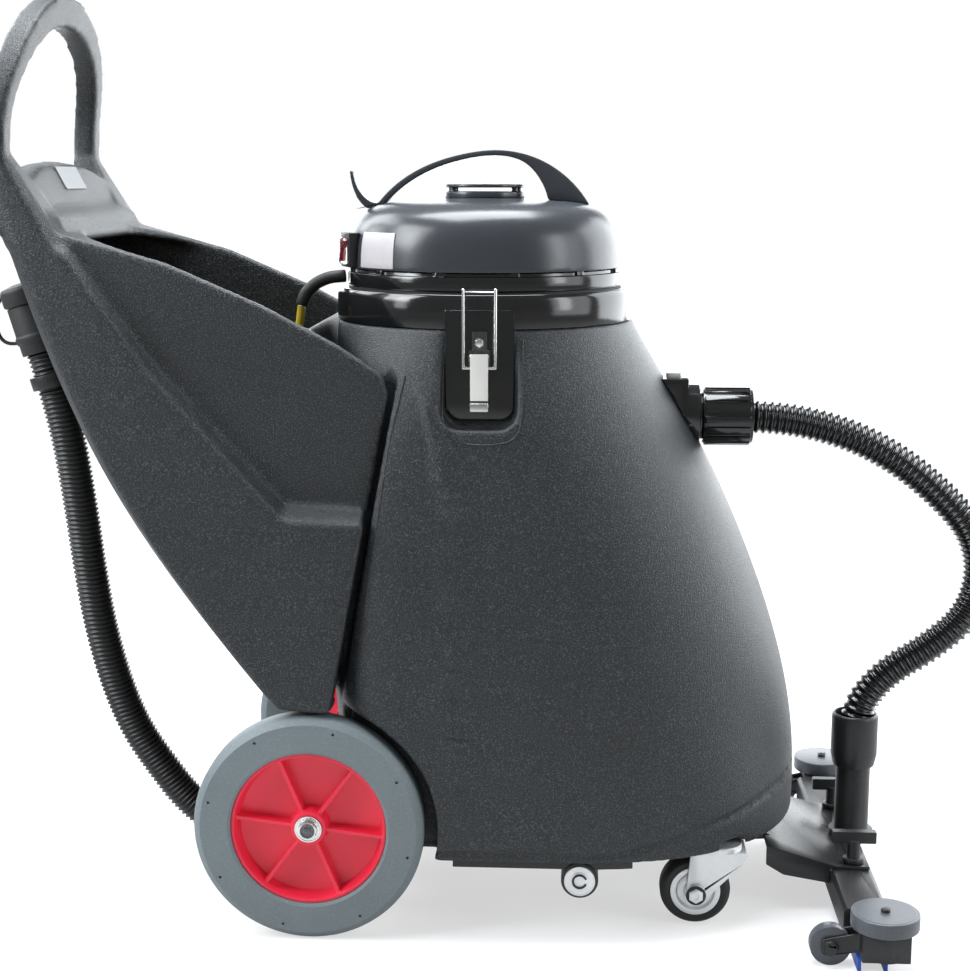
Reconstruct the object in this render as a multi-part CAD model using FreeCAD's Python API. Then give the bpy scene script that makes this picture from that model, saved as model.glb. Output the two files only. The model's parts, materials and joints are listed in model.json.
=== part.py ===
import FreeCAD, Part
import math
import os

# Walk-behind wet pick-up machine for carpet cleaning: a rotationally moulded recovery tank on a
# wheeled base, a rear housing with cord bin and push handle, a lift-off vacuum motor head, a front
# floor squeegee, a vacuum hose and a drain hose.
# Millimetres. +X forward, +Y to the machine's left, +Z up. The floor is Z = 0.

# ---------------------------------------------------------------- driving dimensions
axle_x = -159.0            # rear axle centre line
wheel_r = 127.0            # ten inch rear wheels
wheel_width = 37.0
track_half = 217.0         # machine centre plane to a wheel's outer face
axle_r = 9.5
running_gap = 0.05         # radial clearance of a shaft in its bore
soft_gap = 0.3             # clearance between curved faces of two moving bodies

wall = 6.0                 # moulded wall of the tank and the housing
tank_floor_z = 92.0        # lower edge of the tank
tank_recess = 12.0         # depth of the recess under the tank
neck_x = 22.0              # centre of the tank's round neck
neck_r = 168.0
neck_top_z = 670.0
collar_top_z = 706.5
mouth_r = 150.0            # opening the motor head drops into
arch_r = 137.0             # wheel arch
arch_x = axle_x + 4.7
arch_z = 125.4
inner_width = 162.0        # half width of the tank where the housing wraps round it
seam_gap = 7.0             # visible joint between tank and housing

head_r = 157.0
dome_x = neck_x
dome_r = 156.5
dome_foot_z = 729.0
dome_crown_z = 806.0
vent_r = 45.6
cover_wall = 3.0

band_half_top = 192.0      # half width of the housing's proud band at its top
panel_half = 178.0         # half width of the housing's recessed side panel
bin_half = 165.0           # half width of the cord bin
bin_floor_z = 474.0
handle_half = 184.0        # outer half width of the push handle
handle_top_z = 1030.0
handle_thick = 27.0        # front to back
grip_side = 29.0           # width of the grip at its legs
grip_top = 35.0            # height of the grip at its crown
arch_rise = 150.0          # height of the elliptical arch above its legs

caster_x = 293.0           # swivel axis of a front caster
caster_y = 138.0
caster_r = 39.5
caster_trail = 25.0
caster_width = 30.0

pivot_x = 138.0            # squeegee lift pivot
pivot_z = 68.0
beam_x = 449.0             # centre of the squeegee beam
beam_depth = 48.0
beam_half = 250.0
beam_top_z = 48.0
bumper_x = 462.0
bumper_r = 36.75
bumper_thick = 16.5
bumper_y = 249.0
port_x = 463.0             # suction pipe
pipe_r = 20.0
cuff_r = 27.0
cuff_top_z = 204.0
side_wheel_x = 406.0
side_wheel_y = 240.5
side_wheel_r = 22.0
knob_x = 453.0
knob_y = 88.0

inlet_z = 557.5            # vacuum hose connection on the tank
nut_r = 33.5
nut_x0 = 274.0
nut_x1 = 331.0
hose_r = 19.0
drain_hose_r = 19.3
drain_x = -70.0            # drain port under the tank
drain_y = -70.0
drain_z = 66.0
cord_r = 4.5
latch_x = 26.0
latch_half = 40.0          # half width of the recess under a latch
latch_foot_z = 565.0       # lower edge of that recess
latch_corner_r = 20.0      # its rounded lower corners
latch_face_y = 164.7       # the flat that the tongue lies on

os.makedirs("parts", exist_ok=True)


# ---------------------------------------------------------------- shape helpers
def vec(x, y, z):
    return FreeCAD.Vector(x, y, z)


AXES = {"x": vec(1, 0, 0), "y": vec(0, 1, 0), "z": vec(0, 0, 1)}


def box(x0, x1, y0, y1, z0, z1):
    return Part.makeBox(x1 - x0, y1 - y0, z1 - z0, vec(x0, y0, z0))


def rod(axis, x, y, z, radius, length):
    """A cylinder that starts at a point and runs along an axis."""
    return Part.makeCylinder(radius, length, vec(x, y, z), AXES[axis])


def ring(axis, x, y, z, outer, inner, length):
    return rod(axis, x, y, z, outer, length).cut(rod(axis, x, y, z, inner, length))


def polygon_wire(points):
    return Part.makePolygon(points + [points[0]])


def side_plate(points, y0, y1):
    """A flat outline of (x, z) points, extruded across the machine."""
    face = Part.Face(polygon_wire([vec(x, y0, z) for x, z in points]))
    return face.extrude(vec(0, y1 - y0, 0))


def floor_plate(points, z0, z1):
    """A flat outline of (x, y) points, extruded upwards."""
    face = Part.Face(polygon_wire([vec(x, y, z0) for x, y in points]))
    return face.extrude(vec(0, 0, z1 - z0))


def spline_plate(upper, lower, y0, y1):
    """A band between two smooth curves of (x, z) points, extruded across the machine."""
    top = Part.BSplineCurve()
    top.interpolate([vec(x, y0, z) for x, z in upper])
    low = Part.BSplineCurve()
    low.interpolate([vec(x, y0, z) for x, z in lower])
    ends = [Part.makeLine(vec(upper[i][0], y0, upper[i][1]), vec(lower[i][0], y0, lower[i][1]))
            for i in (0, -1)]
    wire = Part.Wire(Part.__sortEdges__([top.toShape(), low.toShape()] + ends))
    return Part.Face(wire).extrude(vec(0, y1 - y0, 0))


def turned(points, x, y, axis_wire_z=0.0):
    """A solid of revolution about a vertical axis, from (radius, z) points."""
    wire = polygon_wire([vec(r, 0, z + axis_wire_z) for r, z in points])
    solid = Part.Face(wire).revolve(vec(0, 0, 0), vec(0, 0, 1), 360)
    solid.translate(vec(x, y, 0))
    return solid


def turned_y(points, x, z):
    """A solid of revolution about a cross-machine axis, from (radius, y) points."""
    wire = polygon_wire([vec(r, y, 0) for r, y in points])
    solid = Part.Face(wire).revolve(vec(0, 0, 0), vec(0, 1, 0), 360)
    solid.translate(vec(x, 0, z))
    return solid


def fused(shapes):
    return shapes[0].multiFuse(shapes[1:]).removeSplitter()


def both_sides(shape):
    """A shape and its mirror image in the machine's centre plane."""
    return [shape, mirrored(shape)]


def mirrored(shape):
    return shape.mirror(vec(0, 0, 0), vec(0, 1, 0))


def save(name, *shapes):
    """Write one node; several shapes stay separate solids of that node."""
    shape = shapes[0] if len(shapes) == 1 else Part.makeCompound(list(shapes))
    shape.exportStep("parts/" + name + ".step")
    print(name, len(shape.Solids), round(shape.Volume / 1000.0, 1), shape.isValid())


# ---------------------------------------------------------------- recovery tank
# Plan sections of the tank: height, rear, widest station, front, half width, and the exponents
# that shape the nose and the rear corners. The neck is round and the foot has a blunt shovel nose.
TANK_SECTIONS = [
    (tank_floor_z, -138, 60, 389, track_half - 4, 3.2, 1.75, 9.0),
    (180, -140, 60, 388, track_half - 3, 3.2, 1.75, 9.0),
    (270, -149, 60, 373, track_half - 5, 3.1, 1.75, 9.0),
    (380, -150, 56, 338, track_half - 10, 2.9, 1.8, 8.0),
    (480, -150, 50, 295.5, track_half - 18, 2.6, 1.85, 7.0),
    (570, -150, 40, 248, track_half - 29, 2.3, 1.9, 5.0),
    (630, -148, 28, 212, neck_r + 8, 2.1, 1.95, 3.0),
    (neck_top_z, neck_x - neck_r, neck_x, neck_x + neck_r, neck_r, 2.0, 2.0, 2.0),
]
SEAM_TOP = (-63.5, 608.0)
SEAM_FOOT = (-126.5, 259.0)


def tank_section(row, inset):
    """A closed smooth outline of the tank at one height, moved inwards by inset."""
    z, rear, middle, front, half, nose_n, nose_m, rear_n = row
    points = []
    for i in range(40):
        angle = math.radians(9.0 * i)
        u = abs(math.cos(angle))
        if math.cos(angle) > 0:
            x = middle + (front - inset - middle) * u
            y = (half - inset) * (1.0 - u ** nose_n) ** (1.0 / nose_m)
        else:
            x = middle - (middle - rear - inset) * u
            y = (half - inset) * (1.0 - u ** rear_n) ** 0.5
        points.append(vec(x, math.copysign(y, math.sin(angle)), z))
    curve = Part.BSplineCurve()
    curve.interpolate(points, PeriodicFlag=True)
    return Part.Wire([curve.toShape()])


def tank_loft(inset, low_z, high_z):
    """The tank's smooth body between two heights."""
    rows = [(low_z,) + TANK_SECTIONS[0][1:]] + TANK_SECTIONS[1:-1] + [(high_z,) + TANK_SECTIONS[-1][1:]]
    return Part.makeLoft([tank_section(row, inset) for row in rows], True, False)


def seam_zone(grow):
    """The space beside the tank that the housing's cheeks and the wheels take up."""
    top_x = SEAM_TOP[0] + grow
    foot_x = SEAM_FOOT[0] + grow
    outline = [(top_x, 700), (top_x, SEAM_TOP[1]), (foot_x, SEAM_FOOT[1]), (foot_x, 60), (-260, 60),
               (-260, 700)]
    cheek = side_plate(outline, inner_width - grow, 260)
    arch = rod("y", arch_x, track_half - wheel_width - wall - grow, arch_z, arch_r + grow, 90)
    return both_sides(cheek.fuse(arch))


def latch_slab(half, foot_z, corner_r, y0, y1, top_z):
    """An upright slab beside the neck whose two lower corners are rounded."""
    slab = box(latch_x - half, latch_x + half, y0, y1, foot_z + corner_r, top_z)
    foot = box(latch_x - half + corner_r, latch_x + half - corner_r, y0, y1, foot_z, top_z)
    corners = [rod("y", latch_x + side * (half - corner_r), y0, foot_z + corner_r, corner_r, y1 - y0)
               for side in (-1, 1)]
    return fused([slab, foot] + corners)


def latch_recess(grow):
    """The flat recess under each latch."""
    return both_sides(latch_slab(latch_half + grow, latch_foot_z - grow, latch_corner_r + grow,
                                 latch_face_y - grow, 260, neck_top_z + 1 - grow * 0.2))


tank_inner_z = tank_floor_z + tank_recess + wall
tank_rear_x = TANK_SECTIONS[0][1]
tank = tank_loft(0.0, tank_floor_z, neck_top_z)
for zone in seam_zone(0.0) + latch_recess(0.0):
    tank = tank.cut(zone)
hollow = tank_loft(wall, tank_inner_z, neck_top_z - wall)
for zone in seam_zone(wall) + latch_recess(wall):
    hollow = hollow.cut(zone)
tank = tank.cut(hollow)
tank = tank.cut(rod("z", neck_x, 0, neck_top_z - 2 * wall, mouth_r, 3 * wall))
# recess under the tank for the chassis plate
foot_face = Part.Face(tank_section((tank_floor_z - 1,) + TANK_SECTIONS[0][1:], 14.0))
recess = foot_face.extrude(vec(0, 0, tank_recess + 1))
recess = recess.fuse(box(-160, -100, -150, 150, tank_floor_z - 1, tank_floor_z + tank_recess))
for zone in seam_zone(14.0):
    recess = recess.cut(zone)
for side in (-1, 1):
    recess = recess.fuse(rod("z", caster_x, side * caster_y, tank_floor_z - 1, 30.0, tank_recess + 1))
tank = tank.cut(recess)
# bosses on the rear wall that the housing screws on to
boss_x = -154.0
for boss_y in (-90.0, 90.0):
    for boss_z in (300.0, 470.0):
        tank = tank.fuse(rod("x", boss_x, boss_y, boss_z, 12.0, 18.0))
# inlet and drain openings
inlet_bore_r = 22.0
tank = tank.cut(rod("x", 200, 0, inlet_z, inlet_bore_r + 5, 100))
tank = tank.cut(rod("z", drain_x, drain_y, tank_floor_z, 17.0, 40))
save("recovery_tank", tank)

# ---------------------------------------------------------------- tank collar with latch tongues
collar = turned([(mouth_r, neck_top_z), (neck_r + 0.5, neck_top_z), (neck_r + 0.5, 700),
                 (neck_r - 2, collar_top_z), (mouth_r, collar_top_z)], neck_x, 0)
tongue_face_y = latch_face_y + 4.0
tongue = latch_slab(latch_half - 3.5, latch_foot_z + 8.5, latch_corner_r - 5.0,
                    latch_face_y, tongue_face_y, 690)
tongue = tongue.cut(rod("z", neck_x, 0, latch_foot_z, neck_r, neck_top_z - latch_foot_z))
save("tank_collar", fused([collar] + both_sides(tongue)))
gasket_z = 1.5
save("head_gasket", ring("z", neck_x, 0, collar_top_z, 156.0, 151.0, gasket_z))

# ---------------------------------------------------------------- rear housing
REAR_EDGE = [(-478, 765), (-445, 664), (-379, 511), (-288, 368), (-215, 274)]
HOUSING_FOOT = [(-190, 257), (SEAM_FOOT[0] - seam_gap, 253)]
SEAM_EDGE = [(SEAM_FOOT[0] - seam_gap, SEAM_FOOT[1]), (SEAM_TOP[0] - seam_gap, 600)]
RIM_EDGE = [(-76, 622), (-127, 655), (-209, 697), (-309, 740), (-417, 770)]


def wide_outline(rear, front, y_of_z, inset):
    """A housing outline: a smooth rear edge, then straight runs through the front points."""
    curve = Part.BSplineCurve()
    curve.interpolate([vec(x + inset, y_of_z(z), z) for x, z in rear])
    corners = [vec(x, y_of_z(z), z) for x, z in front]
    first = vec(rear[0][0] + inset, y_of_z(rear[0][1]), rear[0][1])
    last = vec(rear[-1][0] + inset, y_of_z(rear[-1][1]), rear[-1][1])
    edges = [curve.toShape()]
    for start, end in zip([last] + corners, corners + [first]):
        edges.append(Part.makeLine(start, end))
    return Part.Wire(edges)


def band_half(z):
    """Half width of the proud band, which widens down to the wheels."""
    top_z = REAR_EDGE[0][1]
    foot_z = HOUSING_FOOT[-1][1]
    return band_half_top + (track_half - 3 - band_half_top) * (top_z - z) / (top_z - foot_z)


def panel_at(z):
    return panel_half


bevel = 14.0
panel_front = HOUSING_FOOT + SEAM_EDGE + RIM_EDGE
core_wire = wide_outline(REAR_EDGE, panel_front, lambda z: -panel_half, 0.0)
core = Part.Face(core_wire).extrude(vec(0, 2 * panel_half, 0))
crease = [(SEAM_FOOT[0] - seam_gap + 38.5, 478), (-183, 482), (-323, 636), (-412, 762)]
band_low = HOUSING_FOOT + [SEAM_EDGE[0]] + crease
band_out = [(x, z + 4) for x, z in HOUSING_FOOT] + [SEAM_EDGE[0]] + [(x, z - bevel) for x, z in crease]
bands = Part.makeLoft([wide_outline(REAR_EDGE, band_low, panel_at, 0.0),
                       wide_outline(REAR_EDGE, band_out, band_half, bevel)], True, True)

# shoulders that carry the handle legs, and the cross hump between them
def shoulder_section(rear_x, front_x, inner_y, outer_y, chamfer, z):
    """One level of a shoulder, with its two outer corners cut off."""
    return polygon_wire([vec(rear_x, inner_y, z), vec(front_x, inner_y, z),
                         vec(front_x, outer_y - chamfer, z), vec(front_x - chamfer, outer_y, z),
                         vec(rear_x + chamfer, outer_y, z), vec(rear_x, outer_y - chamfer, z)])


grip_inner = handle_half - grip_side
shoulder = Part.makeLoft([shoulder_section(-478, -412, 118, band_half_top, 13, 755),
                          shoulder_section(-498, -471, grip_inner - 4, handle_half, 7, 850)], True, True)
hump_outline = [(-474, 755), (-496, 800), (-498, 822), (-491, 840), (-479, 847), (-463, 840), (-450, 815),
                (-443, 798), (-424, 786), (-417, 768), (-425, 755)]
hump_crown = 847.0
hump_bow_r = 528.0
hump = side_plate(hump_outline, -grip_inner - 6, grip_inner + 6)
hump = hump.common(rod("x", -560, 0, hump_crown - hump_bow_r, hump_bow_r, 200))

# handle loop: an elliptical arch seen from behind, bowed when seen from the side
arch_foot_z = handle_top_z - arch_rise


def arch_blank(half, top_z):
    """An upright slab that ends in half an ellipse."""
    corners = [vec(-540, -half, arch_foot_z), vec(-540, -half, 770),
               vec(-540, half, 770), vec(-540, half, arch_foot_z)]
    ellipse = Part.Ellipse(corners[3], vec(-540, 0, top_z), vec(-540, 0, arch_foot_z))
    edges = [Part.makeLine(start, end) for start, end in zip(corners, corners[1:])]
    edges.append(Part.ArcOfEllipse(ellipse, 0, math.pi).toShape())
    return Part.Face(Part.Wire(edges)).extrude(vec(120, 0, 0))


loop = arch_blank(handle_half, handle_top_z).cut(arch_blank(grip_inner, handle_top_z - grip_top))
bow = [(-481, 750), (-484.5, 820), (-484.8, arch_foot_z - 8), (-479.5, arch_foot_z + 32),
       (-472, arch_foot_z + 65), (-467, arch_foot_z + 90), (-462.5, arch_foot_z + 120),
       (-458, handle_top_z + 10)]
loop = loop.common(spline_plate([(x + handle_thick / 2, z) for x, z in bow],
                                [(x - handle_thick / 2, z) for x, z in bow], -200, 200))

housing = fused([core] + both_sides(bands) + both_sides(shoulder) + [hump, loop])

# cord bin, the space the tank fills, and the hollow below the bin
bin_front_x = boss_x - wall
bin_wire = wide_outline([(x + wall + 2, z) for x, z in REAR_EDGE[:3]],
                        [(-342, bin_floor_z), (bin_front_x, bin_floor_z), (bin_front_x, 820), (-409, 820),
                         (-417, 762)],
                        lambda z: -bin_half, 0.0)
bin_space = Part.Face(bin_wire).extrude(vec(0, 2 * bin_half, 0))
tank_space = box(boss_x, 60, -bin_half, bin_half, 200, 900)
neck_space = rod("z", neck_x, 0, 655, neck_r + 4, 200)
under_front = [(-180, 263), (40, 263), (40, bin_floor_z - wall), (-335, bin_floor_z - wall)]
under_wire = wide_outline([(x + wall + 2, z) for x, z in [(-351, 466), (-288, 368), (-204, 270)]],
                          under_front, lambda z: -184.0, 0.0)
under_space = Part.Face(under_wire).extrude(vec(0, 368, 0))
for space in (bin_space, tank_space, neck_space, under_space):
    housing = housing.cut(space)

# rounded rear corners of the bin's mouth, in the plane of its rim
mouth_corner_r = 85.0
mouth_corner_x = -330.0
rim_plate = side_plate([(-425, 772.2), (-325, 744.4), (-325, 738.4), (-425, 760)], -panel_half, panel_half)
mouth_flat = bin_half - mouth_corner_r
mouth = [box(mouth_corner_x - mouth_corner_r, -300, -mouth_flat, mouth_flat, 700, 800),
         box(mouth_corner_x, -300, -bin_half, bin_half, 700, 800)]
mouth += both_sides(rod("z", mouth_corner_x, mouth_flat, 700, mouth_corner_r, 100))
save("rear_housing", fused([housing, rim_plate.cut(fused(mouth))]))
badge = side_plate([(-463.0, 840.0), (-450.0, 815.0), (-449.1, 815.5), (-462.1, 840.5)], -40, 40)
badge = badge.common(rod("x", -560, 0, hump_crown - hump_bow_r, hump_bow_r - 2, 200))
save("housing_plate", badge)

# ---------------------------------------------------------------- chassis plate and axle
plate_z = tank_floor_z + tank_recess
plate_thick = 6.0
chassis_outline = [(-186, -148), (-100, -148), (-2, -148), (-2, -196), (215, -194), (280, -172), (335, -118),
                   (335, 118), (280, 172), (215, 194), (-2, 196), (-2, 148), (-186, 148)]
chassis = floor_plate(chassis_outline, plate_z - plate_thick, plate_z)
tongue_slot = 70.0
chassis = chassis.cut(box(100, 340, -tongue_slot, tongue_slot, plate_z - 10, plate_z + 10))
chassis = chassis.cut(rod("z", drain_x, drain_y, plate_z - 10, 23.0, 20))
rail_foot_z = 80.0
for rail_y in (-196.0, 190.0):
    chassis = chassis.fuse(box(-2, 215, rail_y, rail_y + wall, rail_foot_z, plate_z - plate_thick))
ear_y = 146.0
for side in (-1, 1):
    y0 = side * ear_y - 3.0
    ear = side_plate([(-186, plate_z - 1), (-140, plate_z - 1), (-141, 146), (-177, 146)], y0, y0 + 6)
    chassis = chassis.fuse(ear)
    lug = side_plate([(110, plate_z - plate_thick), (166, plate_z - plate_thick), (152, 54), (124, 54)],
                     y0, y0 + 6)
    chassis = chassis.fuse(lug)
    # caster mounting plate and its swivel race
    chassis = chassis.fuse(box(caster_x - 42, caster_x + 36, side * caster_y - 34, side * caster_y + 34,
                               plate_z - plate_thick - 3, plate_z - plate_thick))
chassis = chassis.cut(rod("y", axle_x, -200, 127.0, axle_r, 400))
chassis = chassis.cut(rod("y", pivot_x, -200, pivot_z, 8.0, 400))
# the chassis follows the inside of the tank's recess
nose_fit = Part.Face(tank_section((0.0,) + TANK_SECTIONS[0][1:], 15.0)).extrude(vec(0, 0, 150))
nose_fit = nose_fit.fuse(box(-200, -20, -150, 150, 0, 150))
chassis = chassis.common(nose_fit)
save("base_frame", chassis)

hub_half = track_half - 14.0
axle = rod("y", axle_x, -(track_half - 2), wheel_r, axle_r, 2 * (track_half - 2))
cap_r = 10.5
caps = [rod("y", axle_x, track_half - 2, wheel_r, cap_r, 5.0)]
caps.append(mirrored(caps[0]))
stops = [ring("y", axle_x, ear_y + 3.0, wheel_r, 16.0, axle_r, 6.0)]
stops.append(mirrored(stops[0]))
save("rear_axle", fused([axle] + caps + stops))

# ---------------------------------------------------------------- rear wheels
tyre_bore = 86.0
wheel_y0 = track_half - wheel_width
tyre = turned_y([(tyre_bore, wheel_y0 + 2), (tyre_bore + 4, wheel_y0), (118, wheel_y0),
                 (wheel_r - 1.5, wheel_y0 + 5), (wheel_r, wheel_y0 + 8), (wheel_r, track_half - 8),
                 (wheel_r - 1.5, track_half - 5), (119, track_half), (tyre_bore + 3, track_half),
                 (tyre_bore, track_half - 2)], axle_x, wheel_r)
dimple_r = 1.6
dimple_circle = 113.0
for i in range(8):
    angle = math.radians(30.0 + 45.0 * i)
    tyre = tyre.cut(rod("y", axle_x + dimple_circle * math.cos(angle), track_half - 3,
                        wheel_r + dimple_circle * math.sin(angle), dimple_r, 10))
dish_y = track_half - 22.0
hub = turned_y([(axle_r + running_gap, wheel_y0 - 4), (24, wheel_y0 - 4), (26, dish_y - 5),
                (tyre_bore - 6, dish_y - 5), (tyre_bore - 6, wheel_y0 + 3), (tyre_bore, wheel_y0 + 3),
                (tyre_bore, track_half - 4), (tyre_bore - 4, track_half - 4), (tyre_bore - 8, dish_y),
                (22, dish_y), (19, track_half - 5), (axle_r + running_gap, track_half - 5)], axle_x, wheel_r)
for i in range(6):
    rib = box(axle_x + 16, axle_x + tyre_bore - 5, dish_y - 1, track_half - 9, wheel_r - 2.2, wheel_r + 2.2)
    rib.rotate(vec(axle_x, 0, wheel_r), vec(0, 1, 0), 7.0 + 60.0 * i)
    hub = hub.fuse(rib)
save("rear_tyre_left", tyre)
save("rear_hub_left", hub)
save("rear_tyre_right", mirrored(tyre))
save("rear_hub_right", mirrored(hub))

# ---------------------------------------------------------------- front casters
fork_top_z = 88.0
race_z = plate_z - plate_thick - 3
wheel_x = caster_x - caster_trail
caster_bore = 6.0
cheek_y = caster_width / 2 + 3.0
cheek_thick = 3.0
fork_cheek = side_plate([(caster_x - 31, fork_top_z), (caster_x + 31, fork_top_z),
                         (caster_x + 26, fork_top_z - 14), (wheel_x + 12, caster_r - 6),
                         (wheel_x + 7, caster_r - 11), (wheel_x - 7, caster_r - 11),
                         (wheel_x - 12, caster_r - 5)], caster_y + cheek_y, caster_y + cheek_y + cheek_thick)
far_cheek = fork_cheek.translated(vec(0, -2 * cheek_y - cheek_thick, 0))
crown = box(caster_x - 31, caster_x + 31, caster_y - cheek_y - cheek_thick, caster_y + cheek_y + cheek_thick,
            fork_top_z - 4, fork_top_z)
swivel = rod("z", caster_x, caster_y, fork_top_z - 1, 27.0, race_z - soft_gap - fork_top_z + 1)
caster_axle = rod("y", wheel_x, caster_y - cheek_y - 8, caster_r, caster_bore, 2 * cheek_y + 16)
bolt_heads = [rod("y", wheel_x, caster_y + cheek_y + cheek_thick - 0.5, caster_r, 10.0, 6.5)]
bolt_heads.append(rod("y", wheel_x, caster_y - cheek_y - cheek_thick - 6, caster_r, 10.0, 6.5))
fork = fused([fork_cheek, far_cheek, crown, swivel, caster_axle] + bolt_heads)
half_w = caster_width / 2
rim_r = 28.0
caster_tyre = turned_y([(rim_r, -half_w + 1), (rim_r + 6, -half_w), (caster_r - 4, -half_w + 1.5),
                        (caster_r, -half_w + 7), (caster_r, half_w - 7), (caster_r - 4, half_w - 1.5),
                        (rim_r + 6, half_w), (rim_r, half_w - 1)], wheel_x, caster_r)
caster_rim = turned_y([(caster_bore + running_gap, -half_w - 2), (12, -half_w - 2), (13, -half_w + 4),
                       (20, -half_w + 4), (22, -half_w), (rim_r, -half_w), (rim_r, half_w), (22, half_w),
                       (20, half_w - 4), (13, half_w - 4), (12, half_w + 2),
                       (caster_bore + running_gap, half_w + 2)], wheel_x, caster_r)
for shape in (caster_tyre, caster_rim):
    shape.translate(vec(0, caster_y, 0))
for side_name, place in (("left", lambda s: s), ("right", mirrored)):
    save("caster_fork_" + side_name, place(fork))
    save("caster_tyre_" + side_name, place(caster_tyre))
    save("caster_rim_" + side_name, place(caster_rim))

# ---------------------------------------------------------------- squeegee
deck_half = 102.0
deck = side_plate([(352, 75), (432, 52), (470, 52), (470, beam_top_z), (431, beam_top_z), (352, 71)],
                  -deck_half, deck_half)
skirts = both_sides(side_plate([(352, 73), (424.7, 52), (424.7, 31), (372, 40), (352, 52)],
                               deck_half - 4, deck_half))
arm_half = 64.0
arm = side_plate([(126, 64), (pivot_x, 56), (354, 68), (354, 74.5), (pivot_x, 70)], -arm_half, arm_half)
pivot_tube_half = ear_y - 3.0 - soft_gap
pivot_tube = rod("y", pivot_x, -pivot_tube_half, pivot_z, 13.0, 2 * pivot_tube_half)
yoke = fused([deck, arm, pivot_tube] + skirts)
yoke = yoke.cut(rod("y", pivot_x, -200, pivot_z, 8.0 + running_gap, 400))
yoke = yoke.cut(rod("z", port_x, 0, 30, pipe_r + soft_gap, 40))
stem_r = 7.5
for side in (-1, 1):
    yoke = yoke.cut(rod("z", knob_x, side * knob_y, 40, 4.2, 30))
save("squeegee_yoke", yoke)
bolt = rod("y", pivot_x, -172, pivot_z, 8.0, 344)
bolt_caps = both_sides(rod("y", pivot_x, 166, pivot_z, 15.0, 8.0))
washers = both_sides(rod("y", pivot_x, ear_y + 3.0, pivot_z, 20.0, 17.0))
save("pivot_bolt", fused([bolt] + bolt_caps + washers))

block_y = bumper_y - bumper_r - 4.0
beam_x0 = beam_x - beam_depth / 2
beam_x1 = beam_x + beam_depth / 2
beam = side_plate([(beam_x0, 16), (beam_x0 + 8, 16), (beam_x0 + 8, 36), (beam_x1 - 8, 36), (beam_x1 - 8, 16),
                   (beam_x1, 16), (beam_x1, beam_top_z - 4), (beam_x1 - 4, beam_top_z),
                   (beam_x0 + 4, beam_top_z), (beam_x0, beam_top_z - 4)], -block_y, block_y)
beam = beam.cut(rod("z", port_x, 0, 20, pipe_r - 3.0, 40))
end_block = box(436, 487, block_y, 271, 14, 45).fuse(rod("z", bumper_x, bumper_y, 14, 24.0, 31))
end_block = end_block.fuse(rod("z", bumper_x, bumper_y, 40, 14.0, 6.5))
stub = rod("z", bumper_x, bumper_y, 40, 5.0, 27.0)
arm_plates = [side_plate([(side_wheel_x - 9, 13), (side_wheel_x - 9, 31), (440, 40), (440, 18),
                          (side_wheel_x, 13)],
                         y, y + 3) for y in (side_wheel_y - 11.5, side_wheel_y + 8.5)]
wheel_bolt = rod("y", side_wheel_x, side_wheel_y - 15, side_wheel_r, 4.0, 30)
bolt_head = rod("y", side_wheel_x, side_wheel_y + 11, side_wheel_r, 7.5, 5.0)
end_parts = fused([end_block, stub] + arm_plates + [wheel_bolt, bolt_head])
save("beam_ends", end_parts, mirrored(end_parts))
knob_bores = [rod("z", knob_x, side * knob_y, 20, 4.0, 40) for side in (-1, 1)]
for bore in knob_bores:
    beam = beam.cut(bore)
save("squeegee_beam", beam)
blade_thick = 4.0
blade_half = beam_half + 10.0
blades = []
for blade_x in (beam_x0 + 8, beam_x1 - 8 - blade_thick):
    held = box(blade_x, blade_x + blade_thick, 3 - block_y, block_y - 3, 0, 36)
    tip = box(blade_x, blade_x + blade_thick, -blade_half, blade_half, 0, 13.7)
    blades.append(held.fuse(tip).removeSplitter())
save("squeegee_blades", *blades)

side_wheel = ring("y", side_wheel_x, side_wheel_y - 7.5, side_wheel_r, side_wheel_r, 4.0 + running_gap, 15.0)
bumper = turned([(5.0 + running_gap, 46.8), (bumper_r - 2, 46.8), (bumper_r, 49), (bumper_r, 59),
                 (bumper_r - 3, 63.3), (12, 63.3), (12, 61), (5.0 + running_gap, 61)], bumper_x, bumper_y)
knob_z = beam_top_z + 4.0 + soft_gap
knob = fused([rod("z", knob_x, knob_y, knob_z, 12.0, 6.0),
              rod("z", knob_x, knob_y, knob_z + 5, stem_r, 22.0),
              box(knob_x - 25, knob_x + 25, knob_y - 5, knob_y + 5, 76, 90),
              rod("z", knob_x, knob_y, 30, 4.0 - running_gap, knob_z - 29)])
knob = knob.cut(rod("z", knob_x, knob_y, 30, 3.0, 1.0))
for side_name, place in (("left", lambda s: s), ("right", mirrored)):
    save("side_wheel_" + side_name, place(side_wheel))
    save("bumper_wheel_" + side_name, place(bumper))
    save("knob_" + side_name, place(knob))

pipe = ring("z", port_x, 0, beam_top_z, pipe_r, pipe_r - 3.0, 154.0 - beam_top_z)
pipe = pipe.fuse(ring("z", port_x, 0, beam_top_z + 4.3, pipe_r + 6, pipe_r, 8.0))
save("suction_pipe", pipe)
hose_seat_z = 168.0
cuff_bore_r = hose_r + 4.0
cuff = turned([(pipe_r, 140), (cuff_r - 3, 140), (cuff_r, 154), (cuff_r, cuff_top_z - 3),
               (cuff_r - 2, cuff_top_z),
               (cuff_bore_r, cuff_top_z), (cuff_bore_r, hose_seat_z), (hose_r - 2, hose_seat_z),
               (hose_r - 2, 154), (pipe_r, 154)], port_x, 0)
save("hose_cuff", cuff)

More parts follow.
